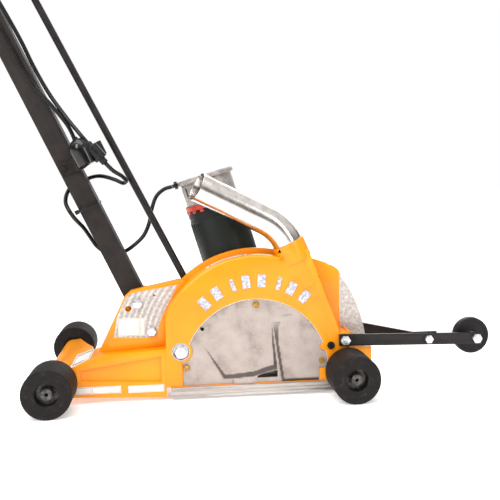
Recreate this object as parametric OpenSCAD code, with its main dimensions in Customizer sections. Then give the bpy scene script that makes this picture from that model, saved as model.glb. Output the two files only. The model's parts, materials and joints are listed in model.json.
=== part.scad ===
// Walk-behind early-entry concrete saw: cast frame on four rollers, a raised-blade guard with a
// vacuum outlet, an electric drive unit that plunges about a pivot, and a pushing handle.
// Machine frame used inside the modules: X forward from the rear axle, Y away from the outer face of
// the near rollers, Z up from the ground. Every node is then moved so that the origin is the centre
// of the machine's footprint.

/* [Rollers] */
// Diameter of each roller
wheel_d = 80; // [76:1:84]
// Width of each roller
wheel_w = 64; // [58:1:65]
// Distance between the front and the rear axle
wheelbase = 497; // [490:1:505]
// Overall width across the rollers
track_w = 377; // [370:1:390]

/* [Guard] */
// Outer radius of the blade guard
guard_r = 172; // [171:0.5:176]
// Thickness of the guard's near wall
guard_wall = 8; // [6:0.5:9]
// Radius of the round opening that the cover closes
opening_r = 124; // [120:1:126]

/* [Blade] */
// Blade diameter
blade_d = 228; // [200:1:228]
// Blade thickness
blade_t = 3.2; // [2:0.2:4]

/* [Handle] */
// Length of the square handle tube
handle_len = 944; // [900:1:960]
// Rearward lean of the handle from vertical
handle_lean = 25.3; // [25:0.1:26]
// Side of the square handle tube
tube_s = 35; // [34:0.5:35]
// Width of the handlebar
bar_w = 360; // [300:5:380]

/* [Vacuum outlet] */
// Outside diameter of the vacuum tube
vac_d = 50.8; // [50:0.1:51]
// Wall of the vacuum tube
vac_wall = 1.65; // [1.2:0.05:2]

/* [Drive unit] */
// Rearward lean of the motor at rest
motor_lean = 16.5; // [15:0.5:17]
// Radius of the motor housing at its lower end
motor_r = 52; // [50:0.5:52]

/* [Hidden] */

$fn = 96;
fit = 0.05;                 // radial clearance of a running or located fit
gap = 0.5;                  // side clearance between parts that move past each other

wheel_r = wheel_d / 2;
axle_r = 9.5;
bearing_r = 18.3;
bearing_w = 12;
bearing_inset = 15;

near_wall_y = 72;           // near face of the casting
web_y = 112;                // near face of the web
web_t = 10;
blade_y = 94;               // middle plane of the blade
guard_c = [341, 71];        // centre of the guard's outer arc
opening_c = [339, 43];
cover_screw_at = [[340, 158], [220, 54], [452, 58]];
front_x = 541;              // front end of the casting
foot_z = 22;                // underside of the casting
rail_z = 5;                 // underside of the skid rails
left_x = 186;               // rear edge of the guard

pivot = [211, 82];          // plunge pivot, X and Z
spin = [338, 120.5];        // blade spindle, X and Z, blade raised
lug = [245, 150];           // lower end of the lift rod
motor_y = 176;
plunge_deg = 22;

handle_foot = [162, 113];   // lower handle bolt
handle_y = 134.5;
tube_start = -18;
lever_pivot = [-180.7, 860];
crank = [lug[0] - pivot[0], lug[1] - pivot[1]];
crank_pin = [lever_pivot[0] + crank[0], lever_pivot[1] + crank[1]];
rod_r = 6.5;
eye_r = 11;
pin_r = 5;

collar_top = [398.5, 260.5];
collar_tilt = 155;          // direction of the duct from +Z towards +X
collar_r = 29;
collar_len = 34;
duct_r = 25;
duct_len = 82;
duct_bore_r = 20;
tube_insert = 16;
bend_r = 87.7;
bend_deg = 38;
spigot_r = 25;              // outside of the tube's end in the collar
vac_straight = 135;

arm_pivot = [493, 92];
arm_tip = [729, 86];
arm_mid = arm_pivot + 0.63 * (arm_tip - arm_pivot);
arm_h = 20;
arm_t = 5;
guide_r = 32;
guide_w = 14;

hand_len = 105;             // hand arm of the lift lever
hand_deg = 160;             // its direction from +X
hand_tip = [lever_pivot[0] + hand_len * cos(hand_deg), lever_pivot[1] + hand_len * sin(hand_deg)];
lever_grip_r = 13;
rear_x = hand_tip[0] - lever_grip_r;
front_end_x = arm_tip[0] + guide_r;
bar_near_y = handle_y - bar_w / 2;
shift = [-(rear_x + front_end_x) / 2, -(bar_near_y + track_w) / 2, 0];

bolt_positions = [handle_foot, [138.8, 162.1]];

// ---------- frame and solids shared by the parts ----------

module place() {
    translate(shift) children();
}

// A disc or shaft along Y between y0 and y1, at p = [x, z]
module ycyl(p, y0, y1, r) {
    translate([p[0], y0, p[1]]) rotate([-90, 0, 0]) cylinder(r = r, h = y1 - y0);
}

// A flat outline in X and Z, given a thickness between y0 and y1
module plate(y0, y1) {
    translate([0, y1, 0]) rotate([90, 0, 0]) linear_extrude(y1 - y0) children();
}

// A flat bar outline with round ends, from p to q
module bar2d(p, q, w) {
    d = q - p;
    translate(p) rotate(atan2(d[1], d[0])) translate([0, -w / 2]) square([norm(d), w]);
    translate(p) circle(d = w);
    translate(q) circle(d = w);
}

// A flat bar outline with square ends, run on past p and q by half its width
module square_bar2d(p, q, w) {
    d = q - p;
    translate(p) rotate(atan2(d[1], d[0])) translate([-w / 2, -w / 2]) square([norm(d) + w, w]);
}

// A hexagon head along Y, af across its flats
module yhex(p, y0, y1, af) {
    translate([p[0], y0, p[1]]) rotate([-90, 0, 0]) cylinder(d = af / cos(30), h = y1 - y0, $fn = 6);
}

// The frame of the handle tube: Z runs up along the tube, from the lower handle bolt
module on_handle(t = 0) {
    translate([handle_foot[0], handle_y, handle_foot[1]]) rotate([0, -handle_lean, 0]) translate([0, 0, t]) children();
}

// The frame of the motor: Z runs up along the motor, from the spindle axis
module on_motor(u = 0) {
    translate([spin[0], motor_y, spin[1]]) rotate([0, -motor_lean, 0]) translate([0, 0, u]) children();
}

// The frame of the duct: Z runs down along the duct, from the top of its collar
module on_duct(t = 0) {
    translate([collar_top[0], blade_y, collar_top[1]]) rotate([0, collar_tilt, 0]) translate([0, 0, t]) children();
}

// A ring sector in 2D about the origin, from angle a0 to a1
module arc_slot2d(r, half_w, a0, a1) {
    reach = (r + half_w) * 1.2;
    intersection() {
        difference() {
            circle(r = r + half_w);
            circle(r = r - half_w);
        }
        polygon([[0, 0], [reach * cos(a0), reach * sin(a0)], [reach * cos(a1), reach * sin(a1)]]);
    }
}

// ---------- soft round cord swept along hand-set points ----------

function catmull(p0, p1, p2, p3, t) = 0.5 * (2 * p1 + (p2 - p0) * t + (2 * p0 - 5 * p1 + 4 * p2 - p3) * t * t
    + (3 * p1 - p0 - 3 * p2 + p3) * t * t * t);
function at(p, i) = p[max(0, min(len(p) - 1, i))];
function smooth(p, n) = [
    for (i = [0:len(p) - 2]) for (k = [0:n - 1]) catmull(at(p, i - 1), p[i], p[i + 1], at(p, i + 2), k / n),
    p[len(p) - 1]
];
function unit(v) = v / norm(v);
function tangent(p, i) = unit(at(p, i + 1) - at(p, i - 1));
function ring(c, t, r, sides) = let(s = unit(cross([0, 1, 0], t)), b = cross(t, s)) [
    for (k = [0:sides - 1]) c + r * (cos(360 * k / sides) * s + sin(360 * k / sides) * b)
];

module cord(route, r, per_span, sides = 10) {
    p = smooth(route, per_span);
    n = len(p);
    points = [for (i = [0:n - 1]) each ring(p[i], tangent(p, i), r, sides)];
    walls = [for (i = [0:n - 2]) for (k = [0:sides - 1]) let(a = i * sides, b = a + sides, m = (k + 1) % sides)
        [a + k, b + k, b + m, a + m]];
    ends = [[for (k = [0:sides - 1]) k], [for (k = [0:sides - 1]) (n - 1) * sides + sides - 1 - k]];
    polyhedron(points, concat(walls, ends), convexity = 6);
}

cord_r = 3.5;
switch_route = [
    [-107.6, 108, 730.3], [-97, 108, 708], [-80, 112, 678], [-60, 118, 640], [-42, 120, 604],
    [-24, 120, 564], [0, 116, 520], [28, 106, 480], [50, 91, 453], [64, 87, 436]
];
motor_route = [
    [92.9, 87, 401.6], [105, 92, 389], [118, 104, 380], [124, 116, 372], [118, 126, 368], [104, 132, 374],
    [84, 138, 380], [67, 152, 380], [48, 160, 374], [28, 157, 364], [20, 148, 352], [20, 126, 338],
    [26, 111, 326], [36, 111, 310], [48, 132, 292], [56, 148, 276], [66, 158, 258], [80, 162, 246],
    [98, 162, 242], [116, 160, 246], [134, 158, 258], [150, 158, 274], [160, 160, 296], [165, 166, 320],
    [173, 173, 342], [187, 176, 355], [202, 176, 359.7]
];
second_route = [
    [-125.8, 108, 721.9], [-115, 107, 698], [-92, 107, 658], [-68, 109, 612], [-46, 111, 568],
    [-22, 111, 530], [4, 109, 500], [29, 106, 468], [40.7, 105, 444.4]
];

// ---------- casting ----------

module guard_outline() {
    difference() {
        union() {
            translate(guard_c) circle(r = guard_r);
            polygon([[left_x, foot_z], [front_x - 14, foot_z], [front_x, 40], [front_x, 78], [491, 78], [487, 103],
                [461, 169], [432, 250], [380, 234], [left_x, 145]]);
            translate(arm_pivot) circle(r = 13);
        }
        translate([0, -50]) square([left_x, 500]);
        translate([0, -150]) square([700, 150 + foot_z]);
        translate([504, 78.05]) square([60, 60]);
        polygon([[491, 78.05], [482, 116], [461.5, 168], [440, 230], [540, 230], [540, 106], [500, 106], [500, 78.05]]);
    }
    translate(arm_pivot) circle(r = 13);
}

module cavity2d(r) {
    difference() {
        translate(guard_c) circle(r = r);
        translate([0, -200]) square([left_x + 7, 600]);
        translate([468, -200]) square([100, 600]);
        translate([0, -250]) square([700, 250]);
    }
}

// The opening for the cover, shrunk all round by inset
module opening2d(inset) {
    low_z = foot_z + 1 + inset;
    difference() {
        union() {
            translate(opening_c) circle(r = opening_r - inset);
            translate([left_x + 27.5 + inset, low_z]) square([30, 42]);
        }
        translate([0, low_z - 200]) square([700, 200]);
        translate(pivot) circle(r = 19.5 + inset);
        translate([458, 82]) circle(r = 8 + inset);
        translate([448 - inset, low_z - 50]) square([40, 72 + inset]);
    }
}

module guard_housing() {
    cavity_r = blade_d / 2 + norm(spin - guard_c) + 4;
    color([1.0, 0.71, 0.12])
    difference() {
        union() {
            difference() {
                plate(near_wall_y, web_y) guard_outline();
                plate(near_wall_y + guard_wall, web_y + 1) cavity2d(cavity_r);
                plate(near_wall_y - 1, near_wall_y + guard_wall + 1) opening2d(0);
            }
            ycyl(pivot, near_wall_y, near_wall_y + guard_wall, 19.5);
            ycyl(pivot, near_wall_y + guard_wall - 1, web_y, 13);
            plate(near_wall_y + guard_wall - 0.3, near_wall_y + guard_wall + 6) {
                translate([331, 150]) square([18, 26]);
                translate([200, 46]) square([27, 16]);
                translate([444, 50]) square([26, 16]);
            }
            difference() {
                union() {
                    on_duct(0) cylinder(r = collar_r, h = collar_len);
                    on_duct(collar_len - 1) cylinder(r = duct_r, h = duct_len - collar_len);
                }
                ycyl(spin, near_wall_y + guard_wall, web_y + 10, blade_d / 2 + 4);
            }
        }
        on_duct(-1) cylinder(r = spigot_r + fit, h = tube_insert + 1);
        on_duct(tube_insert - 1) cylinder(r = duct_bore_r, h = duct_len);
        ycyl(pivot, near_wall_y - 1, near_wall_y + 6, 14);
        ycyl(pivot, near_wall_y, web_y + 1, 6 + fit);
        for (p = cover_screw_at) ycyl(p, near_wall_y + guard_wall - 1, near_wall_y + guard_wall + 7, 3 + fit);
        ycyl(arm_pivot, near_wall_y - 1, web_y + 1, pin_r + fit);
        ycyl([wheelbase, wheel_r], near_wall_y - 1, web_y + 1, axle_r + fit);
        ycyl([469, 83], near_wall_y - 1, near_wall_y + 12, 4 + fit);
        for (a = [95, 128]) translate([guard_c[0], blade_y, guard_c[1]]) rotate([0, 90 - a, 0])
            translate([0, 0, guard_r - 12]) cylinder(r = 4, h = 24);
    }
}

module web_outline() {
    difference() {
        union() {
            translate(guard_c) circle(r = guard_r + 8);
            intersection() {
                translate([326, 64]) circle(r = 216);
                polygon([[380, foot_z], [front_x, foot_z], [front_x, 100], [522, 158], [494, 203], [471, 221], [400, 245]]);
            }
            translate([471, 190]) circle(r = 28);
        }
        translate([-50, -150]) square([left_x + 52, 600]);
        translate([0, -150]) square([700, 150 + foot_z]);
    }
}

module web_plate() {
    swing_r = norm(spin - pivot);
    swing_deg = atan2(spin[1] - pivot[1], spin[0] - pivot[0]);
    color([1.0, 0.71, 0.12])
    difference() {
        plate(web_y, web_y + web_t) web_outline();
        plate(web_y - 1, web_y + web_t + 1) translate(pivot)
            arc_slot2d(swing_r, 23, swing_deg - plunge_deg - 11, swing_deg + 11);
        on_duct(-60) cylinder(r = collar_r + 0.1, h = collar_len + 60);
        on_duct(0) cylinder(r = duct_r + 0.1, h = duct_len + 0.1);
        ycyl(pivot, web_y - 1, web_y + web_t + 1, 6 + fit);
        ycyl(arm_pivot, web_y - 1, web_y + web_t + 1, pin_r + fit);
        ycyl([wheelbase, wheel_r], web_y - 1, web_y + web_t + 1, axle_r + fit);
    }
}

module rear_frame() {
    color([1.0, 0.71, 0.12])
    difference() {
        union() {
            plate(near_wall_y, near_wall_y + 8) polygon([[0, 23], [32, 12], [left_x, 6], [left_x, 88],
                [77, 80], [35, 64], [0, 57]]);
            plate(near_wall_y + 2, web_y - 14) polygon([[left_x, 80], [left_x, 88], [77, 80], [35, 64], [0, 57], [0, 47],
                [35, 54], [77, 70]]);
            plate(web_y - 14.5, 171) polygon([[left_x, 76], [left_x, 85], [77, 75], [35, 63], [0, 57], [0, 47], [35, 53],
                [77, 65]]);
            intersection() {
                plate(170, 305) polygon([[52, 68], [35, 63], [0, 57], [0, 47], [35, 53], [52, 58]]);
                linear_extrude(120) polygon([[-20, 160], [60, 160], [60, 170], [14, 305], [-20, 305]]);
            }
            ycyl([0, wheel_r], near_wall_y - 2, track_w - near_wall_y + 2, 17);
        }
        ycyl([0, wheel_r], 0, track_w, axle_r + fit);
        plate(near_wall_y - 1, near_wall_y + 5) polygon([[42, 57], [44, 39], [178, 32], [178, 76]]);
    }
}

module cheek_outline() {
    polygon([[72, 81], [117, 174], [128, 184], [212, 201], [240, 190], [left_x, 60]]);
}

module handle_bracket_near() {
    color([1.0, 0.71, 0.12])
    difference() {
        plate(web_y - 14, handle_y - tube_s / 2 - gap) intersection() {
            cheek_outline();
            polygon([[60, 79], [77, 80.2], [left_x, 88.2], [left_x, 145], [260, 220], [60, 220]]);
        }
        plate(web_y - 20, web_y) intersection() {
            translate(guard_c) circle(r = guard_r + 0.1);
            translate([left_x, 0]) square(300);
        }
        plate(web_y - 1, web_y + web_t) intersection() {
            translate(guard_c) circle(r = guard_r + 8.1);
            translate([left_x, 0]) square(300);
        }
        plate(web_y - 16, web_y - 11.5) difference() {
            polygon([[98, 104], [156, 102], [181, 110], [187, 118], [left_x + 4, 156], [208, 193], [129, 180],
                [119, 172], [102, 136]]);
            translate(guard_c) circle(r = guard_r + 2);
        }
        for (p = bolt_positions) ycyl(p, 80, 120, pin_r + fit);
        ycyl([123, 153], 80, 120, 5);
        ycyl([168, 176], 80, 120, 2.5);
    }
}

module handle_bracket_far() {
    y0 = handle_y + tube_s / 2 + gap;
    color([1.0, 0.71, 0.12])
    difference() {
        plate(y0, 167) polygon([[88, 76.5], [183, 85.1], [183, 130], [160, 182], [128, 184], [114, 170]]);
        for (p = bolt_positions) ycyl(p, y0 - 1, 170, pin_r + fit);
    }
}

module front_beam() {
    ear_y = 205;
    color([1.0, 0.71, 0.12])
    difference() {
        union() {
            ycyl([wheelbase, wheel_r], web_y + web_t, track_w - near_wall_y + 2, 17);
            plate(ear_y, ear_y + 10) bar2d([wheelbase, wheel_r], arm_pivot, 26);
        }
        ycyl([wheelbase, wheel_r], web_y, track_w, axle_r + fit);
        ycyl(arm_pivot, ear_y - 1, ear_y + 11, pin_r + fit);
    }
}

module skid_rail(y0, y1, grooved_y) {
    color([0.80, 0.79, 0.77])
    difference() {
        translate([193, y0, rail_z]) cube([286, y1 - y0, foot_z - rail_z]);
        for (z = [rail_z + 4, rail_z + 10]) translate([180, grooved_y - 1.2, z]) cube([320, 2.4, 3]);
    }
}

module skid_rail_near() { skid_rail(67, 84, 67); }
module skid_rail_far() { skid_rail(104, 124, 124); }

// ---------- guard cover, trim and screws ----------

module blade_cover() {
    y0 = near_wall_y + 2;
    y1 = near_wall_y + guard_wall - 0.3;
    color([0.80, 0.76, 0.73])
    difference() {
        union() {
            plate(y0, y1) opening2d(0.4);
            plate(y0 - 2.5, y0 + 1) polygon([[377, 25], [388, 25], [369, 126], [365, 126]]);
            plate(y0 - 2, y0 + 1) polygon([[252, 88], [286, 25], [298, 25]]);
        }
        plate(y0 - 3, y1 + 1) polygon([[340, 31], [376, 31], [376, 43], [358, 41], [341, 36]]);
        for (p = cover_screw_at) ycyl(p, y0 - 1, y1 + 1, 3 + fit);
        ycyl([248, 119], y0 - 1, y1 + 1, 3);
    }
}

module cover_screws() {
    color([0.72, 0.56, 0.28])
    for (p = cover_screw_at) {
        ycyl(p, near_wall_y + 2, near_wall_y + guard_wall + 5, 3);
        ycyl(p, near_wall_y, near_wall_y + 2, 5.8);
        yhex(p, near_wall_y - 3, near_wall_y, 9);
    }
}

module web_screws() {
    color([0.15, 0.15, 0.16])
    difference() {
        union() {
            ycyl([469, 83], near_wall_y - 4, near_wall_y, 6.5);
            ycyl([469, 83], near_wall_y, near_wall_y + 11, 4);
        }
        yhex([469, 83], near_wall_y - 5, near_wall_y - 1, 6);
    }
}

module raised_bars() {
    count = 8;
    span = 84;
    color([0.83, 0.82, 0.81])
    for (i = [0:count - 1]) plate(near_wall_y - 2, near_wall_y) translate(guard_c) intersection() {
        difference() {
            circle(r = 139);
            circle(r = 117);
        }
        rotate(50 + i * span / (count - 1)) translate([100, -7]) square([80, i % 3 == 2 ? 7 : 14]);
    }
}

module label_plates() {
    color([0.86, 0.86, 0.84]) {
        plate(near_wall_y - 0.6, near_wall_y) {
            translate([36, 17]) square([74, 12]);
            translate([122, 16]) square([60, 12]);
        }
        plate(web_y - 12.1, web_y - 11.5) translate([105, 106]) square([46, 31]);
    }
}

// The frame of the elbow's bend: X from its centre of curvature, Y along the tube
module on_bend() {
    on_duct() translate([bend_r, 0, 0]) rotate([0, 180, 0]) rotate([90, 0, 0]) children();
}

// The elbow sits on the collar, and its thinner spigot goes into the collar's bore
module vac_elbow() {
    color([0.80, 0.79, 0.78]) {
        on_duct(-1) pipe(spigot_r, vac_wall, tube_insert);
        on_bend() rotate_extrude(angle = bend_deg) translate([bend_r, 0]) ring2d(vac_d / 2, vac_wall);
    }
}

module vac_tube() {
    color([0.80, 0.79, 0.78])
    on_bend() rotate(bend_deg) translate([bend_r, 0, 0]) rotate([-90, 0, 0])
        pipe(vac_d / 2, vac_wall, vac_straight);
}

module ring2d(r, wall) {
    difference() {
        circle(r = r);
        circle(r = r - wall);
    }
}

module pipe(r, wall, h) {
    linear_extrude(h) ring2d(r, wall);
}

// ---------- axles, rollers and bolts ----------

module pivot_bolt() {
    color([0.85, 0.85, 0.86]) {
        ycyl(pivot, near_wall_y + 6, 166, 6);
        ycyl(pivot, near_wall_y + 3, near_wall_y + 6, 13);
        yhex(pivot, near_wall_y - 5, near_wall_y + 3, 19);
        yhex(pivot, 158, 166, 19);
    }
}

module axle(x) {
    color([0.42, 0.42, 0.43])
    difference() {
        union() {
            ycyl([x, wheel_r], 3, track_w - 3, axle_r);
            ycyl([x, wheel_r], wheel_w + gap, near_wall_y - 2, 14);
            ycyl([x, wheel_r], track_w - near_wall_y + 2, track_w - wheel_w - gap, 14);
        }
        for (y = [2, track_w - 13]) ycyl([x, wheel_r], y, y + 11, 3);
    }
}

module rear_axle() { axle(0); }
module front_axle() { axle(wheelbase); }

module roller(x, y) {
    c = [x, wheel_r];
    color([0.13, 0.12, 0.12])
    difference() {
        ycyl(c, y, y + wheel_w, wheel_r);
        ycyl(c, y - 1, y + bearing_inset + bearing_w, bearing_r);
        ycyl(c, y + wheel_w - bearing_inset - bearing_w, y + wheel_w + 1, bearing_r);
        ycyl(c, y, y + wheel_w, 13);
    }
}

module roller_bearings(x, y) {
    c = [x, wheel_r];
    color([0.60, 0.60, 0.62])
    for (s = [y + bearing_inset, y + wheel_w - bearing_inset - bearing_w]) difference() {
        ycyl(c, s, s + bearing_w, bearing_r);
        ycyl(c, s - 1, s + bearing_w + 1, axle_r + fit);
    }
    color([0.75, 0.75, 0.77])
    for (s = [y + bearing_inset - 2, y + wheel_w - bearing_inset]) difference() {
        ycyl(c, s, s + 2, bearing_r);
        ycyl(c, s - 1, s + 3, bearing_r - 2.6);
        translate([x - 4, s - 1, 0]) cube([8, 4, wheel_r]);
    }
}

module wheel_rear_near() { roller(0, 0); }
module wheel_rear_far() { roller(0, track_w - wheel_w); }
module wheel_front_near() { roller(wheelbase, 0); }
module wheel_front_far() { roller(wheelbase, track_w - wheel_w); }
module bearings_rear_near() { roller_bearings(0, 0); }
module bearings_rear_far() { roller_bearings(0, track_w - wheel_w); }
module bearings_front_near() { roller_bearings(wheelbase, 0); }
module bearings_front_far() { roller_bearings(wheelbase, track_w - wheel_w); }

// ---------- handle ----------

module handle_tube() {
    color([0.17, 0.15, 0.15])
    difference() {
        on_handle(tube_start) translate([-tube_s / 2, -tube_s / 2, 0]) cube([tube_s, tube_s, handle_len]);
        on_handle(tube_start - 1) translate([-tube_s / 2 + 3, -tube_s / 2 + 3, 0])
            cube([tube_s - 6, tube_s - 6, handle_len + 2]);
        for (p = bolt_positions) ycyl(p, 100, 170, pin_r + fit);
        ycyl(lever_pivot, 100, 170, 4 + fit);
    }
}

module handle_bolts() {
    color([0.80, 0.80, 0.82])
    for (p = bolt_positions) {
        yhex(p, web_y - 11.5 - 7, web_y - 11.5, 14.5);
        ycyl(p, web_y - 11.5, 174, pin_r);
        yhex(p, 167, 174, 14.5);
    }
}

module handlebar() {
    top = tube_start + handle_len;
    color([0.17, 0.15, 0.15]) {
        on_handle(top) translate([-tube_s / 2, -tube_s / 2, 0]) cube([tube_s, tube_s, 17]);
        on_handle(top + 17) rotate([-90, 0, 0]) translate([0, 0, -bar_w / 2 + 1]) cylinder(r = 14, h = bar_w - 2);
    }
}

module bar_grip(side) {
    top = tube_start + handle_len;
    color([0.10, 0.10, 0.11])
    on_handle(top + 17) rotate([-90, 0, 0]) mirror([0, 0, side]) difference() {
        translate([0, 0, bar_w / 2 - 112]) cylinder(r = 17.5, h = 112);
        translate([0, 0, bar_w / 2 - 113]) cylinder(r = 14, h = 112);
    }
}

module grip_near() { bar_grip(1); }
module grip_far() { bar_grip(0); }

switch_t = 690;
switch_y = -tube_s / 2 - 46;

module switch_box() {
    color([0.12, 0.12, 0.13])
    difference() {
        on_handle(switch_t) translate([-34, switch_y, 0]) cube([68, 46, 100]);
        on_handle(switch_t + 34) translate([-15, switch_y - 1, 0]) cube([30, 14, 40]);
    }
    color([0.12, 0.12, 0.13])
    on_handle(switch_t - 16) for (x = [2, 20]) translate([x, -26.5, 0]) cylinder(r = 7, h = 17);
}

module switch_rocker() {
    color([0.75, 0.10, 0.08])
    on_handle(switch_t + 54) translate([0, switch_y + 6, 0]) rotate([6, 0, 0]) {
        rotate([0, 90, 0]) translate([0, 0, -13]) cylinder(r = 5, h = 26);
        difference() {
            translate([-13, -8, -17.5]) cube([26, 8, 35]);
            translate([-14, -8, 0]) rotate([6, 0, 0]) translate([0, -6, 0]) cube([28, 6, 24]);
            translate([-14, -8, 0]) rotate([-6, 0, 0]) translate([0, -6, -24]) cube([28, 6, 24]);
        }
    }
}

module mains_inlet() {
    color([0.10, 0.10, 0.11])
    on_handle(switch_t + 100) translate([-8, switch_y + 23, 0]) difference() {
        cylinder(r = 19, h = 26);
        translate([0, 0, 8]) cylinder(r = 16, h = 20);
    }
    color([0.72, 0.62, 0.35])
    on_handle(switch_t + 106) translate([-8, switch_y + 23, 0])
        for (a = [90, 210, 330]) rotate(a) translate([8, 0, 0]) cylinder(r = 2.2, h = 16);
}

leg_in = tube_s / 2 + gap;
leg_t = 5;

module lever_bolt() {
    y0 = handle_y - leg_in - leg_t - gap;
    y1 = handle_y + leg_in + leg_t + gap;
    color([0.80, 0.80, 0.82]) {
        ycyl(lever_pivot, y0, y1, 4);
        yhex(lever_pivot, y0 - 5, y0, 13);
        yhex(lever_pivot, y1, y1 + 6, 13);
    }
}

module lift_lever() {
    y_near = handle_y - leg_in - leg_t;
    y_far = handle_y + leg_in;
    color([0.17, 0.15, 0.15])
    difference() {
        union() {
            for (y = [y_near, y_far]) plate(y, y + leg_t) {
                bar2d(lever_pivot, crank_pin, 22);
                bar2d(lever_pivot, hand_tip, 18);
            }
            ycyl(hand_tip, handle_y - 60, handle_y + 60, 8);
            ycyl(crank_pin, y_near - 3, y_far + leg_t + 3, pin_r);
        }
        ycyl(lever_pivot, y_near - 1, y_far + leg_t + 1, 4 + fit);
    }
}

module lever_grip() {
    color([0.10, 0.10, 0.11])
    for (y = [handle_y - 61, handle_y + leg_in + leg_t + 1]) difference() {
        ycyl(hand_tip, y, y + 37, lever_grip_r);
        ycyl(hand_tip, y - 1, y + 38, 8 + fit);
    }
}

module lift_rod() {
    eye_w = 13;
    d = crank_pin - lug;
    color([0.15, 0.14, 0.14])
    difference() {
        union() {
            translate([lug[0], handle_y, lug[1]]) rotate([0, atan2(d[0], d[1]), 0]) translate([0, 0, 8])
                cylinder(r = rod_r - 0.4, h = norm(d) - 16);
            for (p = [lug, crank_pin]) ycyl(p, handle_y - eye_w / 2, handle_y + eye_w / 2, eye_r);
        }
        ycyl(crank_pin, handle_y - 20, handle_y + 20, pin_r + fit);
        ycyl(lug, handle_y - 20, handle_y + 20, pin_r + 0.4);
    }
}

// ---------- cord fittings ----------

bracket_t = 325;

// A strap round a loop of its own, bolted to the near face of the handle tube
module cord_bracket() {
    color([0.14, 0.13, 0.13])
    difference() {
        strap();
        on_connector() translate([0, 0, -3]) cylinder(r = 11.4, h = 60);
    }
}

module strap() {
    on_handle(bracket_t) translate([0, -tube_s / 2, 0]) {
        translate([-14, -3, -22]) cube([30, 2.9, 24]);
        translate([-8, -7, -10]) rotate([-90, 0, 0]) cylinder(r = 4.5, h = 4);
        translate([strap_c[0], strap_c[1], -22]) difference() {
            cylinder(r = strap_r + 2.5, h = 24);
            translate([0, 0, -1]) cylinder(r = strap_r, h = 26);
            translate([-60, 0.5, -1]) cube([120, 60, 26]);
        }
    }
}

strap_r = 28;
strap_c = [38, -3];

module cable_plug() {
    color([0.07, 0.07, 0.08])
    on_handle(bracket_t) translate([strap_c[0] - 6, strap_c[1] - tube_s / 2 - 9, 0]) {
        translate([0, 0, -24]) cylinder(r = 15, h = 34);
        translate([0, 0, 10]) cylinder(r1 = 15, r2 = 9, h = 8);
        translate([0, 0, 18]) cylinder(r = 7, h = 8);
    }
}

module cord_connector() {
    color([0.09, 0.09, 0.10])
    on_connector() {
        translate([0, 0, 0.3]) cylinder(r = 6, h = 8);
        translate([0, 0, 8]) cylinder(r = 11, h = 27);
        translate([0, 0, 35]) cylinder(r = 6, h = 9.5);
    }
}

// The frame of the connector: Z runs down along it, from the end of the switch lead
module on_connector() {
    translate([64, 87, 436]) rotate([0, 140, 0]) children();
}

zip_t = 236;

module zip_tie() {
    o = tube_s / 2;
    color([0.08, 0.08, 0.09]) {
        on_handle(zip_t) difference() {
            translate([-o - 1.5, -o - 9.5, 0]) cube([2 * o + 3, 2 * o + 11, 5]);
            translate([-o - 0.1, -o - 8.2, -1]) cube([2 * o + 0.2, 2 * o + 8.3, 7]);
        }
        on_handle(zip_t - 1) translate([-o - 7, -o - 8, 0]) cube([5.6, 8, 7]);
    }
}

module switch_lead() {
    color([0.07, 0.07, 0.07]) {
        cord(switch_route, cord_r, 4);
        cord(second_route, cord_r, 4);
    }
}

module motor_lead() { color([0.07, 0.07, 0.07]) cord(motor_route, cord_r, 2); }

// ---------- drive unit that plunges ----------

module carriage_plate() {
    y0 = 146;
    color([0.62, 0.62, 0.63])
    difference() {
        union() {
            plate(y0, y0 + 9.8) {
                translate(pivot) circle(r = 24);
                translate(spin) circle(r = 42);
                translate(lug) circle(r = 14);
                polygon([[205, 62], [335, 84], [338, 160], [250, 162], [198, 100]]);
            }
            ycyl(pivot, web_y + web_t + gap, y0 + 1, 15);
            ycyl(lug, web_y + web_t + 3, y0 + 1, pin_r);
        }
        ycyl(pivot, web_y, y0 + 20, 6 + fit);
        ycyl(spin, y0 - 1, y0 + 20, 20 + fit);
    }
}

module gear_head() {
    color([0.70, 0.69, 0.68])
    difference() {
        union() {
            intersection() {
                union() {
                    on_motor(-34) cylinder(r = 42, h = 92);
                    on_motor(46) cylinder(r = 46, h = 12);
                }
                translate([0, 156, 0]) cube([700, 200, 500]);
            }
            ycyl(spin, 126, 157, 20);
        }
        ycyl(spin, 100, 200, 8 + fit);
        translate([0, 100, 0]) cube([700, 24, 500]);
    }
}

module gear_head_screws() {
    color([0.20, 0.20, 0.21])
    for (a = [50, 130, 230, 310]) on_motor(58) rotate(a) translate([40, 0, 0]) cylinder(r = 2.6, h = 2);
}

module motor_housing() {
    color([0.11, 0.13, 0.12]) on_motor(60) {
        cylinder(r1 = motor_r - 1, r2 = motor_r, h = 8);
        translate([0, 0, 8]) cylinder(r1 = motor_r, r2 = motor_r - 2, h = 147);
    }
}

module motor_band() {
    color([0.75, 0.16, 0.10]) on_motor(215) cylinder(r = motor_r - 1, h = 9);
}

module motor_adapter() {
    color([0.78, 0.76, 0.75])
    difference() {
        on_motor(224) cylinder(r = 47, h = 40);
        on_motor(236) cylinder(r = 43, h = 29);
        for (a = [150, 170, 190, 210]) on_motor(242) rotate(a) translate([38, -3, 0]) cube([20, 6, 16]);
    }
}

module motor_lid() {
    color([0.82, 0.80, 0.79])
    difference() {
        on_motor(264) cylinder(r = 52, h = 8);
        for (a = [45:90:315]) on_motor(269) rotate(a) translate([40, 0, 0]) cylinder(r = 3.5, h = 5);
    }
}

module cord_gland() {
    color([0.08, 0.08, 0.09])
    on_motor(268) translate([-52, 0, 0]) rotate([0, -90, 0]) {
        cylinder(r = 3.4, h = 10);
        translate([0, 0, 0.2]) cylinder(d = 14, h = 6, $fn = 6);
    }
}

module spindle() {
    color([0.55, 0.55, 0.56]) {
        ycyl(spin, 82, 196, 8);
        ycyl(spin, blade_y + blade_t / 2, blade_y + blade_t / 2 + 6, 22);
    }
}

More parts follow.
